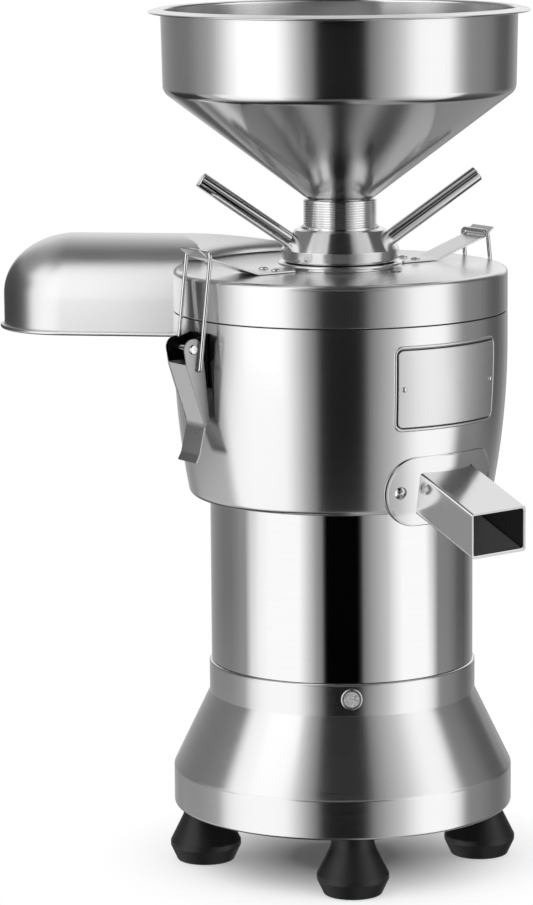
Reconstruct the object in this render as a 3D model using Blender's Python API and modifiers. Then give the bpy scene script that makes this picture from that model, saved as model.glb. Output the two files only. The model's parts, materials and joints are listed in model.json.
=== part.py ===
# Soy milk machine: vertical motor, grinding stones, spinning filter basket, hopper and residue hood.
# Metres, +Z up. The machine is modelled about its shaft axis and then centred over its footprint.

import bmesh
import bpy
import math
from mathutils import Matrix, Vector

# Fits and roundness
fit_gap = 0.0003            # clearance between pieces that touch
seam_gap = 0.0005           # visible seam between the lid and the chamber
running_gap = 0.0006        # clearance round turning pieces
large_segments = 40         # drum, lid, hopper and base
medium_segments = 32        # feed tube, stones and rotor
inner_segments = 24         # motor parts, shaft and bearings
small_segments = 16         # screws, rivets and small holes
fillet_steps = 2
crease_angle = 35.0         # sharper turns than this keep a hard edge
weld_distance = 0.000002
cut_reach = 0.0200          # how far a cutter runs past a wall on each side
outline_inset = 0.0002      # keeps an outline inside the edge of the ring that it cuts

# Where things point, in degrees round the shaft (the hood leaves towards -X)
foot_angle = 12.0
button_angle = -78.0
spout_angle = -41.0
latch_angle = 42.5
handle_angle = 19.0
gland_angle = 100.0
lid_hole_angle = -35.0
hood_screw_angle = 176.0

# Feet
foot_count = 4
foot_height = 0.0492
foot_inset = 0.0255          # centre of a foot from the ring's outside
foot_wide_radius = 0.0293
foot_sole_radius = 0.0235
foot_neck_radius = 0.0168
foot_waist_radius = 0.0180
foot_waist_height = 0.0394
foot_waist_fillet = 0.0200
foot_wide_height = 0.0125
foot_band_height = 0.0040
foot_segments = 20

# Base: ring, cone and neck pressed in one sheet, closed by a bottom plate
base_radius = 0.140
base_ring_height = 0.0323
base_cone_height = 0.0623
base_neck_height = 0.0266
base_neck_radius = 0.1098
base_wall = 0.0018
base_edge_fillet = 0.0045
base_neck_fillet = 0.0015
base_return_width = 0.016
base_ledge_width = 0.016
bottom_plate_thickness = 0.003
drain_hole_radius = 0.0120
drain_hole_inset = 0.0713    # centre of a hole from the ring's outside
drain_hole_angle = 45.0

# Motor tube and motor
tube_radius = 0.108
tube_length = 0.1385
tube_wall = 0.0016
tube_fit = 0.0006           # clearance between the tube and the motor in it
shaft_radius = 0.0099
shaft_seat_radius = 0.0120
bearing_radius = 0.0200
bearing_height = 0.0120
shield_thickness = 0.0080
shield_boss_radius = 0.0300
shield_boss_floor = 0.0030
shield_bearing_sink = 0.0020
stator_bore_radius = 0.0600
stator_height = 0.0600
stator_lift = 0.0350
winding_radius = 0.0960
winding_height = 0.0140
winding_step = 0.0050
fan_radius = 0.0720
fan_root_radius = 0.0200
fan_height = 0.0120
fan_blade_count = 9
fan_blade_start = 0.10      # share of a blade's pitch where its front edge lies
fan_blade_end = 0.34
fan_drop = 0.0120
shaft_overhang = 0.0040
shaft_chamfer = 0.0010
capacitor_radius = 0.0175
capacitor_length = 0.0700
capacitor_offset = 0.0500
capacitor_edge = 0.0015

# Grinding chamber: a drum that draws in towards its floor
chamber_radius = 0.1365
chamber_height = 0.1507
chamber_straight_height = 0.0257
chamber_draw_in = 0.0122
chamber_wall = 0.0018
chamber_floor_fillet = 0.0056
chamber_curve_steps = 4
seal_collar_radius = 0.0240
seal_collar_height = 0.0205
seal_height = 0.0100

# Lid
lid_height = 0.0342
lid_wall = 0.0022
lid_edge_fillet = 0.0045
lid_rim_drop = 0.0090
lid_flange_height = 0.0030
lid_flange_slope = 0.0020
lid_outlet_lift = 0.0060
lid_hole_radius = 0.0065
lid_hole_distance = 0.0585
gasket_width = 0.0040
gasket_height = 0.0050

# Residue hood: half a capsule, open below, leaving the lid at a tangent
hood_offset = 0.0720
hood_half_width = 0.0620
hood_reach = 0.3000
hood_height = 0.0790
hood_arch_height = 0.0500
hood_wall = 0.0015
hood_lip = 0.0030
hood_lip_thickness = 0.0016
hood_drop = 0.0610
hood_cover_radius = 0.1180
hood_outlet_margin = 0.0050
hood_screw_distance = 0.1110
hood_screw_radius = 0.0030
hood_screw_height = 0.0016
hood_arch_steps = 6
hood_end_steps = 14

# Spout
spout_width = 0.0580
spout_height = 0.0345
spout_reach = 0.1840
spout_fall = 0.0250
spout_wall = 0.0016
spout_floor_lift = -0.0030
spout_flange_width = 0.1230
spout_flange_height = 0.0570
spout_flange_thickness = 0.0020
spout_flange_lift = 0.0186
spout_end_steps = 8
spout_screw_spread = 0.0470
screw_head_radius = 0.0046
screw_head_height = 0.0026
screw_shank_radius = 0.0020
screw_shank_length = 0.0090

# Nameplate, left bare
plate_width = 0.1030
plate_height = 0.0615
plate_thickness = 0.0012
plate_corner = 0.0040
plate_lift = 0.1022
plate_rows = 6
plate_rivet_inset = 0.0048
plate_rivet_radius = 0.0017
plate_rivet_height = 0.0008

# Feed tube, adjusting hub and its two rods
feed_radius = 0.0298
feed_bore_radius = 0.0256
feed_throat_radius = 0.0222
feed_top_height = 0.0557
hub_band_radius = 0.0481
hub_band_height = 0.0100
hub_top_radius = 0.0367
hub_cone_height = 0.0160
hub_collar_radius = 0.0318
hub_collar_height = 0.0030
washer_radius = 0.0510
washer_thickness = 0.0046
rod_radius = 0.0065
rod_reach = 0.0884
rod_socket_depth = 0.0080
rod_elevation = 35.0
rod_edge = 0.0008
rod_segments = 20
feed_edge = 0.0008

# Hopper
hopper_radius = 0.1445
hopper_rim_radius = 0.1544
hopper_rim_height = 0.0040
hopper_bowl_height = 0.0675
hopper_cone_slope = 36.2
hopper_wall = 0.0012
hopper_knuckle = 0.0110
hopper_rim_fillet = 0.0025
hopper_bowl_taper = 0.0013
hopper_throat_fillet = 0.0030
hopper_throat_lift = 0.0012
hopper_spigot_length = 0.0240

# Stones, carrier, rotor plate and filter basket
stone_radius = 0.0620
stone_bore_radius = 0.0290
stone_height = 0.0190
stone_gap = 0.0005
stone_groove_count = 8
stone_groove_inner = 0.0260
stone_groove_outer = 0.0550
stone_groove_half = 0.0015
stone_groove_depth = 0.0010
stone_groove_offset = 0.0060
carrier_radius = 0.0620
carrier_thickness = 0.0050
rotor_plate_radius = 0.0700
rotor_plate_thickness = 0.0070
rotor_plate_lift = 0.0720
rotor_hub_radius = 0.0200
rotor_hub_length = 0.0200
rotor_hub_flare = 0.0060
nut_radius = 0.0140
nut_height = 0.0100
nut_sides = 6
basket_rim_radius = 0.1170
basket_height = 0.0560
basket_wall = 0.0012
basket_bead = 0.0030
basket_window_count = 8
basket_window_reach = 0.0130
basket_window_half = 0.0110
basket_foot_rise = 0.0020

# Over-centre latches
latch_pivot_distance = 0.1515
latch_pivot_drop = 0.0200
bail_pivot_inset = 0.0040
bail_pivot_drop = 0.0170
bail_wire_radius = 0.0015
bail_half_width = 0.0175
bail_top_inset = 0.0110
bail_corner = 0.0040
bail_end_bend = 0.0026
bail_end_gap = 0.0012
bail_top_lift = 0.0215
latch_hook_seat = 0.0020
lever_half_width = 0.0142
lever_sheet = 0.0012
lever_ear_radius = 0.0085
lever_face_drop = 0.0140
lever_face_top = 0.0060     # lever points are measured outwards from the pivot
lever_face_kink = -0.0105
lever_back_top = -0.0105
lever_back_kink = -0.0145
lever_back_drop = 0.0160
lever_kink_drop = 0.0620
lever_kink_blend = 0.0030
lever_tip = -0.0045
lever_ear_start = -15.0
lever_ear_end = 185.0
lever_skin = 0.0016         # the face sheet, measured level
lever_length = 0.0920
bracket_half_width = 0.0126
bracket_sheet = 0.0018
bracket_ear_radius = 0.0072
bracket_plate_height = 0.0440
bracket_shoulder = 0.0040
ear_steps = 8
pin_radius = 0.0024
pin_head_radius = 0.0040
pin_head_height = 0.0010
catch_width = 0.0290
catch_sheet = 0.0015
catch_inner_distance = 0.0540
catch_bend_distance = 0.0890
catch_tip_rise = 0.0080
catch_tip_run = 0.0060
catch_rivet_distance = 0.0690
catch_rivet_spread = 0.0090
catch_bend_radius = 0.0100
catch_seat_radius = 0.0012
catch_seat_reach = 0.0004
catch_tip_gap = 0.0016
rivet_head_radius = 0.0040
rivet_head_height = 0.0022

# Push button
button_radius = 0.0064
button_length = 0.0100
button_travel = 0.0025
button_height = 0.0144
bezel_radius = 0.0086
bezel_thickness = 0.0014
bezel_edge = 0.0006
button_sink = 0.0002
button_play = 0.0010
button_segments = 20
switch_radius = 0.0078
switch_depth = 0.0260

# Cable gland
gland_radius = 0.0100
gland_bore_radius = 0.0042
gland_shank_radius = 0.0080
gland_nose = 0.0140
gland_depth = 0.0100
gland_nut_share = 0.40      # part of the nose that is the nut
gland_segments = 18

# Levels worked out from the driving sizes
base_bottom = foot_height + fit_gap
ring_top = base_bottom + base_ring_height
neck_bottom = ring_top + base_cone_height
neck_top = neck_bottom + base_neck_height
tube_bottom = neck_top + fit_gap
tube_top = tube_bottom + tube_length
chamber_bottom = tube_top + fit_gap
chamber_top = chamber_bottom + chamber_height
lid_bottom = chamber_top + seam_gap
lid_top = lid_bottom + lid_height
washer_top = lid_top + fit_gap + washer_thickness
hub_bottom = washer_top + fit_gap
hub_band_top = hub_bottom + hub_band_height
hub_top = hub_band_top + hub_cone_height
feed_top = lid_top + feed_top_height
spigot_bottom = feed_top - hopper_spigot_length
rotor_plate_bottom = chamber_bottom + rotor_plate_lift
rotor_plate_top = rotor_plate_bottom + rotor_plate_thickness
lower_stone_bottom = rotor_plate_top + fit_gap
lower_stone_top = lower_stone_bottom + stone_height
upper_stone_bottom = lower_stone_top + stone_gap
upper_stone_top = upper_stone_bottom + stone_height
carrier_bottom = upper_stone_top + fit_gap
carrier_top = carrier_bottom + carrier_thickness
feed_bottom = carrier_top + fit_gap
stator_bottom = tube_bottom + stator_lift
stator_top = stator_bottom + stator_height
upper_shield_bottom = tube_top - shield_thickness
lower_shield_top = tube_bottom + shield_thickness
tube_bore = tube_radius - tube_wall
hood_bottom = lid_top - hood_drop
hood_top = hood_bottom + hood_height
latch_pivot_level = chamber_top - latch_pivot_drop
bail_pivot_distance = latch_pivot_distance - bail_pivot_inset
bail_pivot_level = latch_pivot_level - bail_pivot_drop
bail_top_distance = bail_pivot_distance - bail_top_inset
bail_top_level = lid_top + bail_top_lift


def clear_scene():
    for old in list(bpy.data.objects):
        bpy.data.objects.remove(old, do_unlink=True)


def new_collection(name):
    collection = bpy.data.collections.new(name)
    bpy.context.scene.collection.children.link(collection)
    return collection


def make_material(name, colour, roughness, metallic):
    material = bpy.data.materials.new(name)
    material.use_nodes = True
    shader = material.node_tree.nodes["Principled BSDF"]
    shader.inputs["Base Color"].default_value = (*colour, 1.0)
    shader.inputs["Roughness"].default_value = roughness
    shader.inputs["Metallic"].default_value = metallic
    return material


def add_object(name, mesh, finish, angle=0.0, place=(0.0, 0.0, 0.0)):
    """A new object at a place, turned by an angle in degrees about +Z."""
    thing = bpy.data.objects.new(name, mesh)
    thing.location = place
    thing.rotation_euler = (0.0, 0.0, math.radians(angle))
    if finish is None:
        cutters.objects.link(thing)
        thing.hide_render = True
        thing.display_type = "WIRE"
    else:
        machine.objects.link(thing)
        thing.data.materials.clear()
        thing.data.materials.append(make_material(name + "_finish", *finish))
    return thing


def settle(thing):
    """Turn modifiers into plain mesh and shade it, sharp where the surface turns quickly."""
    bpy.context.view_layer.update()
    graph = bpy.context.evaluated_depsgraph_get()
    mesh = bpy.data.meshes.new_from_object(thing.evaluated_get(graph))
    thing.modifiers.clear()
    thing.data = mesh
    mesh.shade_smooth()
    mesh.set_sharp_from_angle(angle=math.radians(crease_angle))
    return thing


def weld(mesh):
    work = bmesh.new()
    work.from_mesh(mesh)
    bmesh.ops.remove_doubles(work, verts=work.verts, dist=weld_distance)
    bmesh.ops.recalc_face_normals(work, faces=work.faces)
    work.to_mesh(mesh)
    work.free()


def boolean(thing, tool, operation):
    modifier = thing.modifiers.new(operation.lower(), "BOOLEAN")
    modifier.operation = operation
    modifier.solver = "EXACT"
    modifier.object = tool
    return settle(thing)


def polar(distance, angle, level):
    turn = math.radians(angle)
    return Vector((distance * math.cos(turn), distance * math.sin(turn), level))


def rounded(corners, steps=fillet_steps):
    """Points of a line through corners (x, z) or (x, z, fillet radius), with arcs at the fillets."""
    points = []
    for index, corner in enumerate(corners):
        here = Vector(corner[:2])
        radius = corner[2] if len(corner) > 2 else 0.0
        if radius <= 0.0 or index in (0, len(corners) - 1):
            points.append(here)
            continue
        before = (Vector(corners[index - 1][:2]) - here).normalized()
        after = (Vector(corners[index + 1][:2]) - here).normalized()
        half = before.angle(after) / 2.0
        reach = radius / math.tan(half)
        centre = here + (before + after).normalized() * (radius / math.sin(half))
        start = here + before * reach - centre
        finish = here + after * reach - centre
        for step in range(steps + 1):
            share = step / steps
            spoke = start.lerp(finish, share).normalized() * radius
            points.append(centre + spoke)
    return points


def turned(name, corners, finish, closed=True, wall=0.0, segments=large_segments, steps=fillet_steps):
    """A body of revolution about Z. A closed section makes a ring, an open one with a wall makes a shell."""
    points = rounded(corners, steps)
    edges = [(i, i + 1) for i in range(len(points) - 1)]
    if closed:
        edges.append((len(points) - 1, 0))
    mesh = bpy.data.meshes.new(name)
    mesh.from_pydata([(p.x, 0.0, p.y) for p in points], edges, [])
    thing = add_object(name, mesh, finish)
    screw = thing.modifiers.new("turn", "SCREW")
    screw.axis = "Z"
    screw.angle = math.tau
    screw.steps = segments
    screw.render_steps = segments
    screw.use_merge_vertices = True
    screw.merge_threshold = weld_distance
    if wall > 0.0:
        solidify = thing.modifiers.new("wall", "SOLIDIFY")
        solidify.thickness = wall
        solidify.offset = -1.0
        solidify.use_even_offset = True
    return settle(thing)


def cylinder(name, radius, low, high, finish, segments=medium_segments, edge=0.0, bore=0.0):
    """A plain round or tubular piece about Z between two levels, with an edge chamfer."""
    if bore > 0.0:
        corners = [(bore, high), (radius - edge, high), (radius, high - edge)]
        corners += [(radius, low + edge), (radius - edge, low), (bore, low)]
    else:
        corners = [(0.0, high), (radius - edge, high), (radius, high - edge)]
        corners += [(radius, low + edge), (radius - edge, low), (0.0, low)]
    if edge <= 0.0:
        corners = [corners[0], corners[1], corners[3], corners[5]]
    return turned(name, corners, finish, closed=bore > 0.0, segments=segments)


def aim(thing, place, direction):
    """Lay a piece made about Z along another direction."""
    thing.location = place
    thing.rotation_mode = "QUATERNION"
    thing.rotation_quaternion = Vector(direction).to_track_quat("Z", "Y")
    bpy.context.view_layer.update()
    return thing


def outline_prism(name, points, low, high, finish, frame):
    """A flat outline with a thickness from low to high, stood up by a frame of three axes."""
    curve = bpy.data.curves.new(name, "CURVE")
    curve.dimensions = "2D"
    curve.fill_mode = "BOTH"
    curve.extrude = (high - low) / 2.0
    spline = curve.splines.new("POLY")
    spline.points.add(len(points) - 1)
    for point, place in zip(spline.points, points):
        point.co = (place[0], place[1], 0.0, 1.0)
    spline.use_cyclic_u = True
    flat = bpy.data.objects.new(name + "_outline", curve)
    bpy.context.scene.collection.objects.link(flat)
    bpy.context.view_layer.update()
    graph = bpy.context.evaluated_depsgraph_get()
    mesh = bpy.data.meshes.new_from_object(flat.evaluated_get(graph))
    bpy.data.objects.remove(flat, do_unlink=True)
    mesh.transform(Matrix.Translation((0.0, 0.0, (low + high) / 2.0)))
    mesh.transform(frame)
    weld(mesh)
    return add_object(name, mesh, finish)


# Axes of an outline: drawn in the radial plane (x out, y up), or facing outwards (x along, y up)
radial_plane = Matrix(((1, 0, 0), (0, 0, -1), (0, 1, 0))).to_4x4()
facing_out = Matrix(((0, 0, 1), (1, 0, 0), (0, 1, 0))).to_4x4()


def radial_prism(name, points, half_width, finish):
    return outline_prism(name, points, -half_width, half_width, finish, radial_plane)


def box(name, low, high, finish):
    mesh = bpy.data.meshes.new(name)
    work = bmesh.new()
    bmesh.ops.create_cube(work, size=1.0)
    size = Vector(high) - Vector(low)
    bmesh.ops.scale(work, vec=size, verts=work.verts)
    bmesh.ops.translate(work, vec=(Vector(low) + Vector(high)) / 2.0, verts=work.verts)
    work.to_mesh(mesh)
    work.free()
    return add_object(name, mesh, finish)


def round_corners(points, radius, steps=fillet_steps):
    """A closed outline with every corner rounded."""
    loop = [points[-1]] + list(points) + [points[0]]
    corners = [(p[0], p[1], radius) for p in loop]
    return rounded(corners, steps)[1:-1]


def chamber_outer_radius(level):
    """Straight at the top, then drawn in along a parabola down to the floor."""
    drop = chamber_top - chamber_straight_height - level
    if drop <= 0.0:
        return chamber_radius
    depth = chamber_height - chamber_straight_height
    return chamber_radius - chamber_draw_in * (min(drop, depth) / depth) ** 2


def drum_seat(thing, angle, level, lift):
    """Stand a piece on the drum at an angle and level, square to its surface."""
    step = 0.001
    slope = (chamber_outer_radius(level + step) - chamber_outer_radius(level - step)) / (2.0 * step)
    normal = polar(1.0, angle, -slope).normalized()
    return aim(thing, polar(chamber_outer_radius(level), angle, level) + normal * lift, normal)


steel = ((0.62, 0.62, 0.63), 0.25, 1.0)
satin_steel = ((0.66, 0.66, 0.67), 0.38, 1.0)
bright_steel = ((0.72, 0.72, 0.73), 0.15, 1.0)
black_rubber = ((0.02, 0.02, 0.02), 0.6, 0.0)
grey_stone = ((0.45, 0.44, 0.42), 0.9, 0.0)
iron = ((0.20, 0.20, 0.21), 0.6, 0.8)
copper = ((0.55, 0.25, 0.12), 0.4, 1.0)
dark_plastic = ((0.05, 0.05, 0.05), 0.5, 0.0)


def make_feet():
    corners = [(0.0, foot_height), (foot_neck_radius, foot_height)]
    corners += [(foot_waist_radius, foot_waist_height, foot_waist_fillet)]
    corners += [(foot_wide_radius, foot_wide_height + foot_band_height), (foot_wide_radius, foot_wide_height)]
    corners += [(foot_sole_radius, 0.0), (0.0, 0.0)]
    first = turned("foot_1", corners, black_rubber, closed=False, segments=foot_segments)
    first.location = polar(base_radius - foot_inset, foot_angle, 0.0)
    for index in range(1, foot_count):
        angle = foot_angle + index * 360.0 / foot_count
        place = polar(base_radius - foot_inset, angle, 0.0)
        add_object("foot_%d" % (index + 1), first.data.copy(), black_rubber, 0.0, place)


def make_base():
    inner_edge = base_neck_radius - base_ledge_width
    return_edge = base_radius - base_return_width
    corners = [(inner_edge, neck_top), (base_neck_radius, neck_top, base_neck_fillet)]
    corners += [(base_neck_radius, neck_bottom), (base_radius, ring_top)]
    corners += [(base_radius, base_bottom, base_edge_fillet), (return_edge, base_bottom)]
    skirt = turned("base_skirt", corners, steel, closed=False, wall=base_wall)
    hole_radius = switch_radius + fit_gap
    button_hole = cylinder("button_hole", hole_radius, -cut_reach, cut_reach, None, small_segments)
    aim(button_hole, button_place(base_neck_radius), button_axis())
    boolean(skirt, button_hole, "DIFFERENCE")
    hole_radius = gland_shank_radius + fit_gap
    gland_hole = cylinder("gland_hole", hole_radius, -cut_reach, cut_reach, None, small_segments)
    aim(gland_hole, gland_place(base_radius), polar(1.0, gland_angle, 0.0))
    boolean(skirt, gland_hole, "DIFFERENCE")
    plate_low = base_bottom + base_wall + fit_gap
    plate_radius = base_radius - base_wall - base_edge_fillet
    plate_high = plate_low + bottom_plate_thickness
    plate = cylinder("bottom_plate", plate_radius, plate_low, plate_high, iron, large_segments)
    for index in range(foot_count):
        angle = drain_hole_angle + index * 360.0 / foot_count
        low = plate_low - cut_reach
        high = plate_high + cut_reach
        hole = cylinder("drain_hole_%d" % index, drain_hole_radius, low, high, None, small_segments)
        hole.location = polar(base_radius - drain_hole_inset, angle, 0.0)
        boolean(plate, hole, "DIFFERENCE")
    return skirt


def button_place(distance):
    return polar(distance, button_angle, neck_bottom + button_height)


def button_axis():
    return polar(1.0, button_angle, 0.0)


def gland_place(distance):
    return polar(distance, gland_angle, base_bottom + base_ring_height / 2.0)


def make_button():
    bore = button_radius + fit_gap
    bore_depth = button_length + button_travel + button_play
    rim = bezel_thickness
    edge = bezel_edge
    corners = [(bore, rim), (bezel_radius - edge, rim)]
    corners += [(bezel_radius, rim - edge), (bezel_radius, fit_gap), (switch_radius, fit_gap)]
    corners = [(0.0, -bore_depth), (bore, -bore_depth)] + corners
    corners += [(switch_radius, -switch_depth), (0.0, -switch_depth)]
    housing = turned("button_housing", corners, bright_steel, closed=False, segments=button_segments)
    aim(housing, button_place(base_neck_radius), button_axis())
    high = rim - button_sink
    cap = cylinder("push_button", button_radius, -button_length, high, satin_steel, button_segments, edge)
    aim(cap, button_place(base_neck_radius), button_axis())


def make_gland():
    nut_top = gland_nose * gland_nut_share
    lip_radius = (gland_bore_radius + gland_radius) / 2.0
    corners = [(gland_bore_radius, gland_nose), (lip_radius, gland_nose)]
    corners += [(gland_shank_radius, nut_top), (gland_radius, nut_top)]
    corners += [(gland_radius, fit_gap), (gland_shank_radius, fit_gap)]
    corners += [(gland_shank_radius, -gland_depth), (gland_bore_radius, -gland_depth)]
    gland = turned("cable_gland", corners, dark_plastic, segments=gland_segments)
    aim(gland, gland_place(base_radius), polar(1.0, gland_angle, 0.0))


def make_motor():
    tube = cylinder("motor_tube", tube_radius, tube_bottom, tube_top, steel, large_segments, 0.0, tube_bore)
    seat = tube_bore - tube_fit
    cylinder("stator_core", seat, stator_bottom, stator_top, iron, inner_segments, 0.0, stator_bore_radius)
    core_radius = stator_bore_radius - running_gap
    shaft_bore = shaft_seat_radius + fit_gap
    cylinder("rotor_core", core_radius, stator_bottom, stator_top, iron, inner_segments, 0.0, shaft_bore)
    levels = [("upper_winding", stator_top + fit_gap)]
    levels.append(("lower_winding", stator_bottom - fit_gap - winding_height))
    for name, low in levels:
        high = low + winding_height
        inner = stator_bore_radius + winding_step
        cylinder(name, winding_radius, low, high, copper, inner_segments, 0.0, inner)
    pocket = bearing_radius + fit_gap
    clear_bore = shaft_seat_radius + running_gap
    boss_low = upper_shield_bottom - bearing_height + shield_bearing_sink
    boss_end = boss_low - shield_boss_floor
    corners = [(pocket, tube_top), (seat, tube_top), (seat, upper_shield_bottom)]
    corners += [(shield_boss_radius, upper_shield_bottom), (shield_boss_radius, boss_end)]
    corners += [(clear_bore, boss_end), (clear_bore, boss_low), (pocket, boss_low)]
    turned("upper_end_shield", corners, iron, segments=inner_segments)
    bearing_bore = shaft_radius + fit_gap
    low = boss_low + fit_gap
    high = low + bearing_height
    cylinder("upper_bearing", bearing_radius, low, high, bright_steel, inner_segments, 0.0, bearing_bore)
    boss_high = lower_shield_top + bearing_height - shield_bearing_sink
    boss_end = boss_high + shield_boss_floor
    base = tube_bottom + fit_gap
    corners = [(clear_bore, boss_end), (shield_boss_radius, boss_end)]
    corners += [(shield_boss_radius, lower_shield_top), (seat, lower_shield_top), (seat, base)]
    corners += [(pocket, base), (pocket, boss_high), (clear_bore, boss_high)]
    turned("lower_end_shield", corners, iron, segments=inner_segments)
    high = boss_high - fit_gap
    base = high - bearing_height
    cylinder("lower_bearing", bearing_radius, base, high, bright_steel, inner_segments, 0.0, bearing_bore)
    make_shaft(high, low)
    return tube


def make_shaft(lower_shoulder, upper_shoulder):
    """Stepped shaft: fan seat, lower bearing, rotor seat, upper bearing, plate seat and nut end."""
    fan_low = neck_top - fan_drop - fan_height
    bottom = fan_low - shaft_overhang
    top = lower_stone_bottom + nut_height + shaft_overhang
    corners = [(0.0, top), (shaft_radius - shaft_chamfer, top), (shaft_radius, top - shaft_chamfer)]
    corners += [(shaft_radius, upper_shoulder - fit_gap), (shaft_seat_radius, upper_shoulder - fit_gap)]
    corners += [(shaft_seat_radius, lower_shoulder + fit_gap), (shaft_radius, lower_shoulder + fit_gap)]
    corners += [(shaft_radius, bottom), (0.0, bottom)]
    turned("motor_shaft", corners, bright_steel, closed=False, segments=inner_segments)
    blade = []
    for index in range(fan_blade_count):
        front = math.tau * (index + fan_blade_start) / fan_blade_count
        back = math.tau * (index + fan_blade_end) / fan_blade_count
        for angle, ends in ((front, (fan_root_radius, fan_radius)), (back, (fan_radius, fan_root_radius))):
            for radius in ends:
                blade.append((radius * math.cos(angle), radius * math.sin(angle)))
    fan = outline_prism("cooling_fan", blade, fan_low, fan_low + fan_height, dark_plastic, Matrix.Identity(4))
    hole = cylinder("fan_bore", shaft_radius + fit_gap, 0.0, chamber_bottom, None, inner_segments)
    boolean(fan, hole, "DIFFERENCE")


def make_capacitor():
    length = capacitor_length
    edge = capacitor_edge
    capacitor = cylinder("motor_capacitor", capacitor_radius, 0.0, length, dark_plastic, inner_segments, edge)
    level = base_bottom + base_wall + bottom_plate_thickness + 2.0 * fit_gap + capacitor_radius
    aim(capacitor, (-capacitor_offset, -length / 2.0, level), (0.0, 1.0, 0.0))


def make_chamber():
    corners = [(chamber_radius, chamber_top)]
    straight_low = chamber_top - chamber_straight_height
    curve_low = chamber_bottom + chamber_floor_fillet
    for step in range(chamber_curve_steps):
        level = straight_low + (curve_low - straight_low) * step / chamber_curve_steps
        corners.append((chamber_outer_radius(level), level))
    corners += [(chamber_outer_radius(chamber_bottom), chamber_bottom, chamber_floor_fillet)]
    corners += [(seal_collar_radius, chamber_bottom)]
    corners += [(seal_collar_radius, chamber_bottom + seal_collar_height)]
    chamber = turned("grinding_chamber", corners, steel, closed=False, wall=chamber_wall)
    wall = chamber_radius - chamber_draw_in
    half = spout_width / 2.0 - spout_wall
    duct_low = (wall - cut_reach, -half, chamber_bottom + chamber_wall + fit_gap)
    duct_high = (wall + cut_reach, half, spout_level(wall) + spout_height - spout_wall)
    duct = box("spout_opening", duct_low, duct_high, None)
    duct.rotation_euler.z = math.radians(spout_angle)
    boolean(chamber, duct, "DIFFERENCE")
    for side in (-1, 1):
        boolean(chamber, spout_screw_hole(side, "chamber"), "DIFFERENCE")
    seal_low = chamber_bottom + seal_collar_height - seal_height
    seal_radius = seal_collar_radius - fit_gap
    bore = shaft_radius + fit_gap
    seal_high = seal_low + seal_height
    cylinder("shaft_seal", seal_radius, seal_low, seal_high, black_rubber, inner_segments, 0.0, bore)


def spout_level(distance):
    """Underside of the chute, falling outwards in a straight line."""
    start = chamber_radius - chamber_draw_in
    fall = spout_fall * (distance - start) / (spout_reach - start)
    return chamber_bottom + spout_floor_lift - fall


def spout_screw_hole(side, label):
    turn = math.degrees(side * spout_screw_spread / chamber_radius)
    name = "spout_hole_%s_%d" % (label, side)
    hole = cylinder(name, screw_shank_radius + fit_gap, -cut_reach, cut_reach, None, small_segments)
    return drum_seat(hole, spout_angle + turn, chamber_bottom + spout_flange_lift, 0.0)


def wrapped_plate(name, outline, low, high, thickness, lift, finish):
    """A plate bent round the chamber: a ring that follows the drum, kept inside an outline."""
    inner = []
    outer = []
    for step in range(plate_rows + 1):
        level = high + (low - high) * step / plate_rows
        radius = chamber_outer_radius(level) + lift
        inner.append((radius, level))
        outer.append((radius + thickness, level))
    ring = turned(name, outer + inner[::-1], finish, segments=large_segments * 2)
    prism = outline_prism(name + "_outline", outline, 0.0, spout_reach, None, facing_out)
    prism.rotation_euler.z = math.radians(spout_angle)
    boolean(ring, prism, "INTERSECT")
    weld(ring.data)
    return ring


def chute_solid(name, margin, inner_distance, outer_distance, finish):
    """The chute's outer or inner body: a rectangle carried down a sloping line."""
    points = [(inner_distance, spout_level(inner_distance) + margin)]
    points += [(outer_distance, spout_level(outer_distance) + margin)]
    points += [(outer_distance, spout_level(outer_distance) + spout_height - margin)]
    points += [(inner_distance, spout_level(inner_distance) + spout_height - margin)]
    chute = radial_prism(name, points, spout_width / 2.0 - margin, finish)
    chute.rotation_euler.z = math.radians(spout_angle)
    return chute


def make_spout():
    middle = chamber_bottom + spout_flange_lift
    low = middle - spout_flange_height / 2.0
    high = middle + spout_flange_height / 2.0
    radius = spout_flange_height / 2.0 - outline_inset
    straight = (spout_flange_width - spout_flange_height) / 2.0
    ends = []
    for centre, start in ((straight, -90.0), (-straight, 90.0)):
        for step in range(spout_end_steps + 1):
            angle = math.radians(start + 180.0 * step / spout_end_steps)
            ends.append((centre + radius * math.cos(angle), middle + radius * math.sin(angle)))
    spout = wrapped_plate("spout", ends, low, high, spout_flange_thickness, fit_gap, satin_steel)
    root = chamber_outer_radius(low) - cut_reach
    trim = turned("chute_root", chute_root_profile(), None, closed=False, segments=large_segments * 2)
    body = chute_solid("chute_body", 0.0, root, spout_reach, None)
    boolean(body, trim, "DIFFERENCE")
    boolean(spout, body, "UNION")
    duct = chute_solid("chute_duct", spout_wall, root - cut_reach, spout_reach + cut_reach, None)
    boolean(spout, duct, "DIFFERENCE")
    for side in (-1, 1):
        boolean(spout, spout_screw_hole(side, "flange"), "DIFFERENCE")
    weld(spout.data)
    for side in (-1, 1):
        make_spout_screw(side)


def chute_root_profile():
    """The drum's outside out to the middle of the flange, where the chute's walls end in it."""
    seat = fit_gap + spout_flange_thickness / 2.0
    high = chamber_top
    low = chamber_bottom - spout_height
    points = [(0.0, high)]
    for step in range(2 * plate_rows + 1):
        level = high + (chamber_bottom - high) * step / (2 * plate_rows)
        points.append((chamber_outer_radius(level) + seat, level))
    points += [(chamber_outer_radius(chamber_bottom) + seat, low), (0.0, low)]
    return points


def dome(radius, height):
    """Half section of a low round head, down to its rim."""
    shoulder = radius - 0.3 * height
    return [(0.0, height), (radius - height, height), (shoulder, height * 0.7), (radius, 0.0)]


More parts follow.
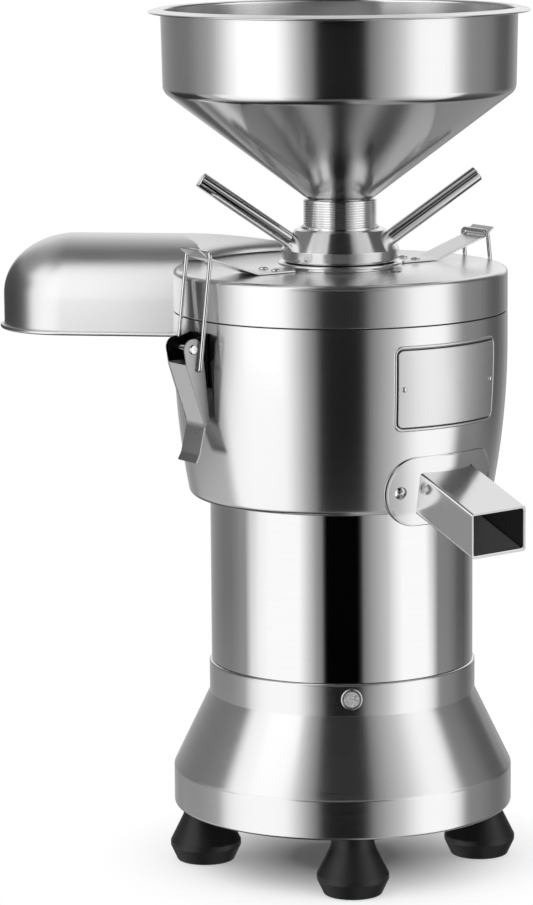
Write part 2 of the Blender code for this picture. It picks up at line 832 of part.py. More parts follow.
def make_spout_screw(side):
    head = screw_head_height
    radius = screw_head_radius
    corners = dome(radius, head)
    corners += [(screw_shank_radius, 0.0), (screw_shank_radius, -screw_shank_length)]
    corners += [(0.0, -screw_shank_length)]
    name = "spout_screw_right" if side > 0 else "spout_screw_left"
    screw = turned(name, corners, bright_steel, closed=False, segments=small_segments)
    turn = math.degrees(side * spout_screw_spread / chamber_radius)
    lift = spout_flange_thickness + 2.0 * fit_gap
    drum_seat(screw, spout_angle + turn, chamber_bottom + spout_flange_lift, lift)


def make_nameplate():
    middle = chamber_bottom + plate_lift
    low = middle - plate_height / 2.0
    high = middle + plate_height / 2.0
    half = chamber_radius * math.sin(plate_width / chamber_radius / 2.0)
    inset = outline_inset
    corners = [(-half, low + inset), (half, low + inset), (half, high - inset), (-half, high - inset)]
    outline = round_corners(corners, plate_corner)
    plate = wrapped_plate("nameplate", outline, low, high, plate_thickness, fit_gap, satin_steel)
    for side in (-1, 1):
        make_plate_rivet(side, middle)
    return plate


def make_plate_rivet(side, level):
    angle = spout_angle + side * math.degrees((plate_width / 2.0 - plate_rivet_inset) / chamber_radius)
    name = "plate_rivet_right" if side > 0 else "plate_rivet_left"
    height = plate_rivet_height
    radius = plate_rivet_radius
    corners = dome(radius, height) + [(0.0, 0.0)]
    rivet = turned(name, corners, bright_steel, closed=False, segments=small_segments)
    drum_seat(rivet, angle, level, plate_thickness + 2.0 * fit_gap)


def make_lid():
    hole = feed_radius + fit_gap
    rim_radius = chamber_radius - chamber_wall - gasket_width - 3.0 * fit_gap
    inner = chamber_radius - lid_wall
    flange_top = lid_bottom + lid_flange_height
    corners = [(hole, lid_top), (chamber_radius, lid_top, lid_edge_fillet), (chamber_radius, lid_bottom)]
    corners += [(rim_radius, lid_bottom), (rim_radius, lid_bottom - lid_rim_drop)]
    corners += [(rim_radius - lid_wall, lid_bottom - lid_rim_drop), (rim_radius - lid_wall, flange_top)]
    corners += [(inner, flange_top + lid_flange_slope), (inner, lid_top - lid_wall)]
    corners += [(hole, lid_top - lid_wall)]
    lid = turned("lid", corners, steel)
    high = lid_top + lid_wall
    port = cylinder("lid_port", lid_hole_radius, lid_top - 2.0 * lid_wall, high, None, small_segments)
    port.location = polar(lid_hole_distance, lid_hole_angle, 0.0)
    boolean(lid, port, "DIFFERENCE")
    outlet = hood_body("lid_outlet", hood_wall + hood_outlet_margin, 0.0, None)
    core = chamber_radius - 3.0 * lid_wall
    low = lid_bottom + lid_outlet_lift
    slab = cylinder("outlet_slab", hood_reach, low, lid_top - lid_wall - fit_gap, None, bore=core)
    boolean(outlet, slab, "INTERSECT")
    boolean(lid, outlet, "DIFFERENCE")
    gasket_radius = chamber_radius - chamber_wall - fit_gap
    gasket_high = lid_bottom - fit_gap
    gasket_low = gasket_high - gasket_height
    bore = gasket_radius - gasket_width
    cylinder("lid_gasket", gasket_radius, gasket_low, gasket_high, black_rubber, large_segments, 0.0, bore)
    return lid


def hood_body(name, margin, dip, finish):
    """Half a capsule: one wall line drawn straight, spun round the end and drawn straight back."""
    half = hood_half_width - margin
    arch = hood_arch_height - margin
    low = hood_bottom - dip
    spring = hood_top - hood_arch_height
    inner_end = 0.0
    end_centre = -(hood_reach - hood_half_width)
    profile = [(half, low), (half, spring)]
    for step in range(1, hood_arch_steps + 1):
        angle = math.radians(90.0 * step / hood_arch_steps)
        profile.append((half * math.cos(angle), spring + arch * math.sin(angle)))
    work = bmesh.new()
    ring = [work.verts.new((inner_end, hood_offset - across, level)) for across, level in profile]
    edges = [work.edges.new((ring[i], ring[i + 1])) for i in range(len(ring) - 1)]
    drawn = bmesh.ops.extrude_edge_only(work, edges=edges)["geom"]
    moved = [g for g in drawn if isinstance(g, bmesh.types.BMVert)]
    bmesh.ops.translate(work, vec=(end_centre - inner_end, 0.0, 0.0), verts=moved)
    lines = [g for g in drawn if isinstance(g, bmesh.types.BMEdge)]
    geometry = moved + [e for e in lines if all(v in moved for v in e.verts)]
    centre = (end_centre, hood_offset, 0.0)
    down = (0.0, 0.0, -1.0)
    spun = bmesh.ops.spin(work, geom=geometry, cent=centre, axis=down, angle=math.pi, steps=hood_end_steps)
    last = [g for g in spun["geom_last"] if isinstance(g, bmesh.types.BMEdge)]
    drawn = bmesh.ops.extrude_edge_only(work, edges=last)["geom"]
    moved = [g for g in drawn if isinstance(g, bmesh.types.BMVert)]
    bmesh.ops.translate(work, vec=(inner_end - end_centre, 0.0, 0.0), verts=moved)
    bmesh.ops.remove_doubles(work, verts=work.verts, dist=weld_distance)
    open_edges = [e for e in work.edges if e.is_boundary]
    floor = [e for e in open_edges if all(abs(v.co.z - low) < weld_distance for v in e.verts)]
    rear = [v for e in floor for v in e.verts if abs(v.co.x - inner_end) < weld_distance]
    floor.append(work.edges.new((rear[0], rear[1])))
    bmesh.ops.contextual_create(work, geom=floor)
    back = [e for e in work.edges if len(e.link_faces) == 1]
    bmesh.ops.contextual_create(work, geom=back)
    bmesh.ops.recalc_face_normals(work, faces=work.faces)
    mesh = bpy.data.meshes.new(name)
    work.to_mesh(mesh)
    work.free()
    return add_object(name, mesh, finish)


def make_hood():
    hood = hood_body("residue_hood", 0.0, 0.0, satin_steel)
    lip = hood_body("hood_lip", -hood_lip, 0.0, None)
    reach = hood_reach + cut_reach
    above = cylinder("lip_trim", reach, hood_bottom + hood_lip_thickness, feed_top, None)
    boolean(lip, above, "DIFFERENCE")
    boolean(hood, lip, "UNION")
    seat = lid_top + fit_gap
    around = cylinder("lid_trim", chamber_radius + fit_gap, chamber_bottom, seat, None, large_segments)
    boolean(hood, around, "DIFFERENCE")
    over = cylinder("cover_trim", hood_cover_radius, chamber_bottom, feed_top, None, large_segments)
    boolean(hood, over, "DIFFERENCE")
    inside = hood_body("hood_inside", hood_wall, cut_reach, None)
    outer = hood_cover_radius + hood_wall
    wall = cylinder("hood_end_wall", outer, chamber_bottom, feed_top, None, large_segments)
    boolean(inside, wall, "DIFFERENCE")
    boolean(hood, inside, "DIFFERENCE")
    weld(hood.data)
    corners = dome(hood_screw_radius, hood_screw_height) + [(0.0, 0.0)]
    screw = turned("hood_screw", corners, bright_steel, closed=False, segments=small_segments)
    screw.location = polar(hood_screw_distance, hood_screw_angle, seat)
    return hood


def make_feed_tube():
    shoulder = spigot_bottom - fit_gap
    corners = [(feed_bore_radius, feed_top), (feed_radius - feed_edge, feed_top)]
    corners += [(feed_radius, feed_top - feed_edge), (feed_radius, feed_bottom)]
    corners += [(feed_throat_radius, feed_bottom), (feed_throat_radius, shoulder), (feed_bore_radius, shoulder)]
    turned("feed_tube", corners, satin_steel, segments=medium_segments)


def make_hub():
    bore = feed_radius + fit_gap
    cylinder("thrust_washer", washer_radius, lid_top + fit_gap, washer_top, steel, medium_segments, 0.0, bore)
    collar_top = hub_top + hub_collar_height
    corners = [(bore, collar_top), (hub_collar_radius, collar_top), (hub_collar_radius, hub_top)]
    corners += [(hub_top_radius, hub_top), (hub_band_radius, hub_band_top)]
    corners += [(hub_band_radius, hub_bottom), (bore, hub_bottom)]
    hub = turned("adjusting_hub", corners, bright_steel, segments=medium_segments)
    seat_distance = (hub_top_radius + hub_band_radius) / 2.0
    seat_level = (hub_top + hub_band_top) / 2.0
    rise = math.radians(rod_elevation)
    for name, angle in (("handle_rod_right", handle_angle), ("handle_rod_left", handle_angle + 180.0)):
        turn = math.radians(angle)
        axis = Vector((math.cos(turn) * math.cos(rise), math.sin(turn) * math.cos(rise), math.sin(rise)))
        seat = polar(seat_distance, angle, seat_level)
        radius = rod_radius + fit_gap
        socket = cylinder(name + "_socket", radius, -rod_socket_depth, cut_reach, None, rod_segments)
        aim(socket, seat, axis)
        boolean(hub, socket, "DIFFERENCE")
        inner = -rod_socket_depth + fit_gap
        rod = cylinder(name, rod_radius, inner, rod_reach, bright_steel, rod_segments, rod_edge)
        aim(rod, seat, axis)
    weld(hub.data)


def make_hopper():
    slope = math.tan(math.radians(hopper_cone_slope))
    spigot_radius = feed_bore_radius - fit_gap
    throat_level = feed_top + hopper_throat_lift
    knuckle_level = throat_level + (hopper_radius - spigot_radius) * slope
    bowl_top = knuckle_level + hopper_bowl_height
    lip_radius = hopper_rim_radius - hopper_wall
    corners = [(lip_radius, bowl_top - hopper_rim_height), (lip_radius, bowl_top)]
    foot_radius = hopper_radius - hopper_bowl_taper
    corners += [(hopper_radius, bowl_top, hopper_rim_fillet), (foot_radius, knuckle_level, hopper_knuckle)]
    corners += [(spigot_radius, throat_level, hopper_throat_fillet)]
    corners += [(spigot_radius, spigot_bottom)]
    turned("hopper", corners, steel, closed=False, wall=hopper_wall)


def make_stones():
    carrier_bore = feed_throat_radius
    low = carrier_bottom
    cylinder("stone_carrier", carrier_radius, low, carrier_top, steel, medium_segments, 0.0, carrier_bore)
    levels = [("upper_stone", upper_stone_bottom, upper_stone_top, 1)]
    levels.append(("lower_stone", lower_stone_bottom, lower_stone_top, -1))
    for name, low, high, face in levels:
        stone = cylinder(name, stone_radius, low, high, grey_stone, medium_segments, 0.0, stone_bore_radius)
        face_level = low if face > 0 else high
        for index in range(stone_groove_count):
            angle = index * 360.0 / stone_groove_count
            start = (stone_groove_inner, -stone_groove_half, -stone_groove_depth)
            end = (stone_groove_outer, stone_groove_half, stone_groove_depth)
            groove = box("%s_groove_%d" % (name, index), start, end, None)
            groove.location = polar(stone_groove_offset, angle + 90.0, face_level)
            groove.rotation_euler.z = math.radians(angle)
            boolean(stone, groove, "DIFFERENCE")
        weld(stone.data)


def make_rotor():
    bore = shaft_radius + fit_gap
    hub_low = rotor_plate_bottom - rotor_hub_length
    corners = [(bore, rotor_plate_top), (rotor_plate_radius, rotor_plate_top)]
    corners += [(rotor_plate_radius, rotor_plate_bottom)]
    corners += [(rotor_hub_radius + rotor_hub_flare, rotor_plate_bottom)]
    corners += [(rotor_hub_radius, rotor_plate_bottom - rotor_hub_flare)]
    corners += [(rotor_hub_radius, hub_low), (bore, hub_low)]
    turned("rotor_plate", corners, steel, segments=medium_segments)
    nut_top = lower_stone_bottom + nut_height
    nut = cylinder("stone_nut", nut_radius, lower_stone_bottom, nut_top, bright_steel, nut_sides)
    hole = cylinder("nut_bore", bore, chamber_bottom, lid_bottom, None, inner_segments)
    boolean(nut, hole, "DIFFERENCE")
    make_basket()


def make_basket():
    """Sheet cone that widens upwards, with a foot ring on the rotor plate and long filter windows."""
    foot = rotor_plate_radius + fit_gap
    low = rotor_plate_bottom
    top = low + basket_height
    corners = [(basket_rim_radius + basket_bead, top), (basket_rim_radius, top)]
    corners += [(foot + basket_wall, rotor_plate_top + basket_foot_rise)]
    corners += [(foot + basket_wall, low)]
    basket = turned("filter_basket", corners, satin_steel, False, basket_wall, medium_segments)
    middle = (foot + basket_rim_radius) / 2.0
    for index in range(basket_window_count):
        angle = index * 360.0 / basket_window_count
        start = (middle - basket_window_reach, -basket_window_half, 0.0)
        end = (middle + basket_window_reach, basket_window_half, top - low)
        window = box("basket_window_%d" % index, start, end, None)
        window.location = (0.0, 0.0, low)
        window.rotation_euler.z = math.radians(angle)
        boolean(basket, window, "DIFFERENCE")
    weld(basket.data)


def latch_frame(side):
    return ("right", latch_angle) if side > 0 else ("left", latch_angle + 180.0)


def make_latch(side):
    label, angle = latch_frame(side)
    pivot = polar(latch_pivot_distance, angle, latch_pivot_level)
    bail_pivot = polar(bail_pivot_distance, angle, bail_pivot_level)
    make_bracket(label, angle, pivot)
    make_pin(label, angle, pivot)
    make_lever(label, angle, pivot)
    make_bail(label, angle, bail_pivot)
    make_catch(label, angle)


def make_bracket(label, angle, pivot):
    """U-shaped bracket: a plate on the drum and two ears round the pivot, in the radial plane."""
    back = chamber_radius + fit_gap - latch_pivot_distance
    front = back + bracket_sheet
    high = bracket_ear_radius + bracket_shoulder
    low = high - bracket_plate_height
    points = [(back, low), (front, low), (front, -high)]
    for step in range(ear_steps + 1):
        turn = math.radians(-90.0 + 180.0 * step / ear_steps)
        points.append((bracket_ear_radius * math.cos(turn), bracket_ear_radius * math.sin(turn)))
    points += [(front, high), (back, high)]
    bracket = radial_prism("latch_bracket_" + label, points, bracket_half_width, satin_steel)
    inner = bracket_half_width - bracket_sheet
    start = (front, -inner, low - cut_reach)
    end = (cut_reach, inner, high + cut_reach)
    gap = box("bracket_gap_" + label, start, end, None)
    boolean(bracket, gap, "DIFFERENCE")
    bore = cylinder("bracket_bore_" + label, pin_radius + fit_gap, -cut_reach, cut_reach, None, small_segments)
    bore.rotation_euler.x = math.radians(90.0)
    boolean(bracket, bore, "DIFFERENCE")
    weld(bracket.data)
    bracket.location = pivot
    bracket.rotation_euler.z = math.radians(angle)


def make_pin(label, angle, pivot):
    reach = lever_half_width + fit_gap
    head = reach + pin_head_height
    flat = pin_head_radius - pin_head_height
    corners = [(0.0, head), (flat, head), (pin_head_radius, reach)]
    corners += [(pin_radius, reach), (pin_radius, -reach)]
    corners += [(pin_head_radius, -reach), (flat, -head), (0.0, -head)]
    pin = turned("latch_pin_" + label, corners, bright_steel, closed=False, segments=small_segments)
    aim(pin, pivot, polar(1.0, angle + 90.0, 0.0))


def lever_outline():
    """Side view of the lever from its pivot: round ear, straight face, kink and finger tip."""
    ear = lever_ear_radius
    points = []
    for step in range(ear_steps + 1):
        turn = math.radians(lever_ear_start + (lever_ear_end - lever_ear_start) * step / ear_steps)
        points.append((ear * math.cos(turn), ear * math.sin(turn)))
    points += [(lever_back_top, -lever_back_drop), (lever_back_kink, lever_kink_blend - lever_kink_drop)]
    points += [(lever_back_kink + lever_sheet, -lever_kink_drop - lever_kink_blend)]
    points += [(lever_tip, -lever_length), (lever_tip + lever_sheet, -lever_length)]
    points += [(lever_face_kink, -lever_kink_drop), (lever_face_top, -lever_face_drop)]
    return points


def make_lever(label, angle, pivot):
    lever = radial_prism("latch_lever_" + label, lever_outline(), lever_half_width, steel)
    inner = lever_half_width - lever_sheet
    reach = latch_pivot_distance - chamber_radius + cut_reach
    low = -lever_kink_drop - fit_gap
    pocket_points = [(-reach, cut_reach), (-reach, low), (lever_back_kink, low)]
    pocket_points += [(lever_face_kink - lever_skin, -lever_kink_drop)]
    pocket_points += [(lever_face_top - lever_skin, -lever_face_drop)]
    pocket_points += [(reach, -lever_face_drop), (reach, cut_reach)]
    pocket = radial_prism("lever_pocket_" + label, pocket_points[::-1], inner, None)
    boolean(lever, pocket, "DIFFERENCE")
    bore = cylinder("lever_bore_" + label, pin_radius + fit_gap, -cut_reach, cut_reach, None, small_segments)
    bore.rotation_euler.x = math.radians(90.0)
    boolean(lever, bore, "DIFFERENCE")
    radius = bail_wire_radius + fit_gap
    eye = cylinder("lever_eye_" + label, radius, -cut_reach, cut_reach, None, small_segments)
    eye.rotation_euler.x = math.radians(90.0)
    eye.location = (-bail_pivot_inset, 0.0, -bail_pivot_drop)
    boolean(lever, eye, "DIFFERENCE")
    weld(lever.data)
    lever.location = pivot
    lever.rotation_euler.z = math.radians(angle)


def make_bail(label, angle, bail_pivot):
    """Wire loop: turned-in ends in the lever's eyes, two legs and a cross wire over the catch."""
    rise = bail_top_level - bail_pivot_level
    end = lever_half_width - lever_sheet - bail_end_gap
    leg = bail_half_width
    top = Vector((-bail_top_inset, rise))
    corners = [(-end, 0.0), (-leg, 0.0, bail_end_bend), (-leg, top.length, bail_corner)]
    corners += [(leg, top.length, bail_corner), (leg, 0.0, bail_end_bend), (end, 0.0)]
    curve = bpy.data.curves.new("bail_wire", "CURVE")
    curve.dimensions = "3D"
    curve.bevel_depth = bail_wire_radius
    curve.bevel_resolution = 2
    curve.use_fill_caps = True
    spline = curve.splines.new("POLY")
    points = rounded(corners, 2 * fillet_steps)
    spline.points.add(len(points) - 1)
    lean = top.normalized()
    for point, place in zip(spline.points, points):
        point.co = (place.y * lean.x, place.x, place.y * lean.y, 1.0)
    wire = bpy.data.objects.new("bail_wire", curve)
    bpy.context.scene.collection.objects.link(wire)
    bpy.context.view_layer.update()
    mesh = bpy.data.meshes.new_from_object(wire.evaluated_get(bpy.context.evaluated_depsgraph_get()))
    bpy.data.objects.remove(wire, do_unlink=True)
    weld(mesh)
    mesh.shade_smooth()
    add_object("latch_bail_" + label, mesh, bright_steel, angle, bail_pivot)


def make_catch(label, angle):
    """Sprung strip on the lid: flat foot, rising arm and an upturned tip that holds the bail."""
    floor = lid_top + fit_gap
    seat = bail_top_level - bail_wire_radius - latch_hook_seat - catch_sheet
    tip_distance = bail_top_distance + bail_wire_radius + catch_tip_gap
    path = [(catch_inner_distance, floor), (catch_bend_distance, floor, catch_bend_radius)]
    path += [(bail_top_distance + catch_seat_reach, seat, catch_seat_radius)]
    path += [(tip_distance + catch_tip_run, seat + catch_tip_rise)]
    line = rounded(path, 3)
    mesh = bpy.data.meshes.new("catch_strip")
    half = catch_width / 2.0
    verts = [(p.x, -half, p.y) for p in line] + [(p.x, half, p.y) for p in line]
    count = len(line)
    faces = [(i, i + 1, i + 1 + count, i + count) for i in range(count - 1)]
    mesh.from_pydata(verts, [], faces)
    strip = add_object("catch_strip_" + label, mesh, satin_steel)
    sheet = strip.modifiers.new("sheet", "SOLIDIFY")
    sheet.thickness = catch_sheet
    sheet.offset = 1.0
    sheet.use_even_offset = True
    settle(strip)
    strip.rotation_euler.z = math.radians(angle)
    for side in (-1, 1):
        radius = rivet_head_radius
        height = rivet_head_height
        corners = dome(radius, height) + [(0.0, 0.0)]
        name = "catch_rivet_%s_%s" % (label, "b" if side > 0 else "a")
        rivet = turned(name, corners, bright_steel, closed=False, segments=small_segments)
        across = Vector((catch_rivet_distance, side * catch_rivet_spread, floor + catch_sheet + fit_gap))
        across.rotate(Matrix.Rotation(math.radians(angle), 3, "Z"))
        rivet.location = across


def centre_over_footprint():
    """Hang every piece on one empty, so that the origin lies under the middle of the machine."""
    bpy.context.view_layer.update()
    low = Vector((1.0, 1.0, 1.0))
    high = -low
    for thing in machine.objects:
        for vertex in thing.data.vertices:
            place = thing.matrix_world @ vertex.co
            low = Vector(map(min, low, place))
            high = Vector(map(max, high, place))
    anchor = bpy.data.objects.new("shaft_axis", None)
    bpy.context.scene.collection.objects.link(anchor)
    anchor.location = (-(low.x + high.x) / 2.0, -(low.y + high.y) / 2.0, -low.z)
    for thing in machine.objects:
        thing.parent = anchor
    bpy.context.view_layer.update()


clear_scene()
machine = new_collection("soy_milk_machine")
cutters = new_collection("cutters")
make_feet()
make_base()
make_button()
make_gland()
make_motor()
make_capacitor()
make_chamber()
make_spout()
make_nameplate()
make_lid()
make_hood()
make_feed_tube()
make_hub()
make_hopper()
make_stones()
make_rotor()
make_latch(1)
make_latch(-1)
centre_over_footprint()
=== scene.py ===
import json

import bmesh
import bpy
import numpy as np
from mathutils import Matrix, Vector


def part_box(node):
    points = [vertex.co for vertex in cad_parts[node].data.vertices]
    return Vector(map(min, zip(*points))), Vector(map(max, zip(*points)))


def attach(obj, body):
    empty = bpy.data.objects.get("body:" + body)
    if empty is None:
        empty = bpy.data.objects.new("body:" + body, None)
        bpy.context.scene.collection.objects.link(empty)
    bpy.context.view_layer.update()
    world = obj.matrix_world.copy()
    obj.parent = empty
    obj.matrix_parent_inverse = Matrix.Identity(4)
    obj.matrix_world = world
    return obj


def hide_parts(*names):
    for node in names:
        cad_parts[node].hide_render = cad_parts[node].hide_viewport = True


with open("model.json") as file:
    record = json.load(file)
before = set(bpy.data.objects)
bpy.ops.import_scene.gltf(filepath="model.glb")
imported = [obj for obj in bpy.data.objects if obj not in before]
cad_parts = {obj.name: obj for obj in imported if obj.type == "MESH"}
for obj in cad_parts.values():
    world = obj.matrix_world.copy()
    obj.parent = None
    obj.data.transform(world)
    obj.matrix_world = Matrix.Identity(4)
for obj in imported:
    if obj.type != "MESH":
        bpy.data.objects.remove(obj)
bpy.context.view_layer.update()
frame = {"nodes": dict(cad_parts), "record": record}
tubeLow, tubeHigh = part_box("motor_tube")
shaftX = (tubeLow[0] + tubeHigh[0]) / 2
shaft = np.array([shaftX, 0.0, 0.0])
print("frame loaded, shaft at x =", round(shaftX, 4))

# A line is a list of (x, y) or (radius, level), a profile has a fillet radius as third value where
# its corner is rounded, and a grid is an array of points in rows and columns. Lengths are in metres.
leftTurn = np.array([[0.0, 1.0], [-1.0, 0.0]])  # (x, y) @ leftTurn = (-y, x)


def unit(vectors):
    return vectors / np.maximum(np.linalg.norm(vectors, axis=-1, keepdims=True), 1e-12)


def closeRows(points):
    return np.concatenate([points, points[:1]])


def closeColumns(points):
    return np.concatenate([points, points[:, :1]], axis=1)


def filletLine(corners, steps=6, closed=False):
    # a corner (x, y, radius) becomes the arc ((1-u)^2 A + 2wu(1-u) P + u^2 B) / ((1-u)^2 + 2wu(1-u) + u^2)
    # P is the corner, A and B lie radius * tan(half the turn) before and after it, w = cos(half the turn)
    table = np.array([tuple(c) + (0.0,) * (3 - len(c)) for c in corners])
    at, radius = table[:, None, :2], table[:, 2, None, None]
    before = unit(np.roll(at, 1, 0) - at)
    after = unit(np.roll(at, -1, 0) - at)
    cosine = (before * after).sum(-1, keepdims=True)
    halfTurn = (np.pi - np.arccos(np.clip(cosine, -1.0, 1.0))) / 2
    reach = radius * np.tan(halfTurn)
    u = np.linspace(0, 1, steps + 1)[None, :, None]
    first, middle, last = (1 - u) ** 2, 2 * np.cos(halfTurn) * u * (1 - u), u**2
    line = first * (at + before * reach) + middle * at + last * (at + after * reach)
    line = (line / (first + middle + last)).reshape(-1, 2)
    gap = np.linalg.norm(np.diff(line, axis=0, append=line[:1]), axis=1) > 1e-7
    gap[-1] = gap[-1] or not closed
    return line[gap]


def leftNormals(line):
    # square to an open line, 1 / cos(half the turn) long, so that a sheet keeps its wall in the bends
    step = unit(np.diff(line, axis=0))
    before, after = np.vstack([step[:1], step]), np.vstack([step, step[-1:]])
    middle = unit(before + after)
    return middle @ leftTurn / np.maximum((middle * after).sum(1, keepdims=True), 0.5)


def outwardNormals(outline):
    # square to a closed line that runs anticlockwise
    return unit(np.roll(outline, -1, 0) - np.roll(outline, 1, 0)) @ -leftTurn


def offsetLine(line, distance):
    return line + leftNormals(line) * distance


def sheetLoop(line, wall, capSteps=4):
    # outline of a bent sheet: the line moved half a wall to the left and to the right, with half round ends
    phi = np.linspace(0, np.pi, capSteps + 2)[1:-1, None]
    step = unit(np.diff(line, axis=0))
    caps = []
    for end, along in ((line[-1], step[-1]), (line[0], -step[0])):
        caps.append(end + wall / 2 * (np.cos(phi) * (along @ leftTurn) + np.sin(phi) * along))
    return np.vstack([offsetLine(line, wall / 2), caps[0], offsetLine(line, -wall / 2)[::-1], caps[1]])


def spacedLoop(outline, spacing):
    # the same closed outline with points every spacing, so that it can bend round the drum
    loop = closeRows(outline)
    walked = np.append(0, np.cumsum(np.linalg.norm(np.diff(loop, axis=0), axis=1)))
    at = np.union1d(walked, np.linspace(0, walked[-1], int(walked[-1] / spacing)))[:-1]
    return np.stack([np.interp(at, walked, loop[:, k]) for k in (0, 1)], axis=1)


def rounded(width, height, corner, middle=0.0, steps=6):
    # a rectangle round (0, middle) with rounded corners, anticlockwise
    x, y = width / 2, height / 2
    return filletLine([(x, middle - y, corner), (x, middle + y, corner), (-x, middle + y, corner),
                       (-x, middle - y, corner)], steps, True)


def domeLine(radius, height, steps=8):
    # a quarter of an ellipse from the rim to the top
    phi = np.linspace(0, np.pi / 2, steps + 1)
    return np.vstack([[0.0, 0.0], np.c_[radius * np.cos(phi), height * np.sin(phi)]])


def place(points, origin, axes=((1, 0, 0), (0, 1, 0), (0, 0, 1))):
    # origin + x * first axis + y * second axis + z * third axis
    return np.asarray(origin) + points @ np.asarray(axes, dtype=float)


def radialAxes(angle):
    # outwards from the shaft, round it, and up
    c, s = np.cos(np.radians(angle)), np.sin(np.radians(angle))
    return np.array([[c, s, 0.0], [-s, c, 0.0], [0.0, 0.0, 1.0]])


def radialPoint(angle, distance, level, across=0.0):
    return place(np.array([distance, across, level]), shaft, radialAxes(angle))


def turned(profile, segments, closed=True):
    # the point (r, z) of the profile at the angle a is (r cos a, r sin a, z)
    line = closeRows(profile) if closed else profile
    a = np.linspace(0, 2 * np.pi, segments + 1)[None, :]
    r, z = line[:, 0, None], line[:, 1, None]
    return np.stack([r * np.cos(a), r * np.sin(a), z + 0 * a], axis=-1)


def plug(radius, low, high, segments=40):
    # a plain cylinder, to cut with
    return turned(np.array([(0, low), (radius, low), (radius, high), (0, high)]), segments, False)


def boxGrid(low, high):
    # the six sides of a box as one grid: middle of the floor, floor edge, top edge, middle of the top
    (x0, y0, z0), (x1, y1, z1) = low, high
    loop = np.array([(x0, y0), (x1, y0), (x1, y1), (x0, y1), (x0, y0)])
    middle = np.array([[(x0 + x1) / 2, (y0 + y1) / 2]]) + 0 * loop
    return np.array([np.c_[flat, np.full(5, z)] for flat, z in
                     ((middle, z0), (loop, z0), (loop, z1), (middle, z1))])


def slab(outline, low, high, edge, rings=1, edgeSteps=3):
    # rows run from the middle of the underside to the rounded edge and back to the middle of the top:
    # shares of the way from the centre to the inset outline, then inset + edge sin phi outwards,
    # low + edge (1 - cos phi) upwards, and the same from the top
    outward = outwardNormals(outline)
    inner = outline - outward * edge
    share = np.linspace(0, 1, rings + 1)[:, None, None]
    centre = (outline.max(0) + outline.min(0)) / 2
    face = centre + (inner - centre) * share
    phi = np.linspace(0, np.pi / 2, edgeSteps + 1)[1:, None, None]
    rim = inner + outward * edge * np.sin(phi)
    flat = np.concatenate([face, rim, rim[::-1], face[::-1]])
    lift = np.concatenate([np.zeros(rings + 1), edge * (1 - np.cos(phi.ravel()))])
    level = np.concatenate([low + lift, (high - lift)[::-1]])[:, None, None]
    return closeColumns(np.concatenate([flat, level + 0 * flat[..., :1]], axis=-1))


def framedLoop(outline, sections):
    # each section (outset, outward height) carries the outline along its normal
    sections = np.asarray(sections)
    flat = outline[None] + outwardNormals(outline)[None] * sections[:, None, :1]
    return closeColumns(np.concatenate([flat, sections[:, None, 1:] + 0 * flat[..., :1]], axis=-1))


def closeEnds(body, first, last):
    # the first and the last point each fill a row, which closes that end
    ends = [np.tile(point, (1, body.shape[1], 1)) for point in (first, last)]
    return np.concatenate([ends[0], body, ends[1]])


def stripAlong(path, halfWidth, thickness, edge):
    # a flat bar bent along the planar path (r, z): the section's corners are rounded by edge,
    # the point (r, across, z) is path + normal * height of the section, with across as its width
    section = closeRows(rounded(2 * halfWidth, thickness, edge, steps=3))
    line = path[:, None, :] + leftNormals(path)[:, None, :] * section[None, :, 1:]
    body = np.stack([line[..., 0], section[None, :, 0] + 0 * line[..., 0], line[..., 1]], axis=-1)
    return closeEnds(body, body[0].mean(0), body[-1].mean(0))


def wireAlong(path, radius, sides=14):
    # planar path (x, y): its tube point is path + radius (cos b * normal, sin b * binormal), ends closed
    b = np.linspace(0, 2 * np.pi, sides + 1)[None, :, None]
    flat = path[:, None, :] + radius * np.cos(b) * unit(leftNormals(path))[:, None, :]
    body = np.concatenate([flat, radius * np.sin(b) + 0 * flat[..., :1]], axis=-1)
    return closeEnds(body, np.append(path[0], 0.0), np.append(path[-1], 0.0))


def gridFaces(rows, columns, offset):
    # the quad (i, j) joins the points (i, j), (i, j+1), (i+1, j+1) and (i+1, j) of a rows x columns grid
    i, j = np.meshgrid(np.arange(rows - 1), np.arange(columns - 1), indexing="ij")
    corner = i * columns + j + offset
    quads = np.stack([corner, corner + 1, corner + columns + 1, corner + columns], axis=-1)
    return quads.reshape(-1, 4)


def cleanMesh(mesh, crease):
    # doubles merge, so that seams and poles close, faces turn outwards, and sharp turns keep their edge
    work = bmesh.new()
    work.from_mesh(mesh)
    bmesh.ops.remove_doubles(work, verts=work.verts, dist=2e-6)
    bmesh.ops.dissolve_degenerate(work, edges=work.edges, dist=2e-6)
    bmesh.ops.recalc_face_normals(work, faces=work.faces)
    work.to_mesh(mesh)
    work.free()
    mesh.shade_smooth()
    mesh.set_sharp_from_angle(angle=np.radians(crease))


def gridObject(name, grids, crease=35.0):
    starts = np.cumsum([0] + [g.shape[0] * g.shape[1] for g in grids])
    points = np.concatenate([g.reshape(-1, 3) for g in grids])
    quads = np.concatenate([gridFaces(g.shape[0], g.shape[1], s) for g, s in zip(grids, starts)])
    mesh = bpy.data.meshes.new(name)
    mesh.from_pydata(points.tolist(), [], quads.tolist())
    cleanMesh(mesh, crease)
    thing = bpy.data.objects.new(name, mesh)
    bpy.context.scene.collection.objects.link(thing)
    return thing


pieces = []


def newPiece(name, grids, slotName, *nodes, body="machine", look=None, crease=35.0):
    piece = gridObject(name, grids, crease)
    pieces.append(piece)
    piece.data.materials.append(look or looks[slotName])
    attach(piece, body)
    if nodes:
        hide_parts(*nodes)
    return piece


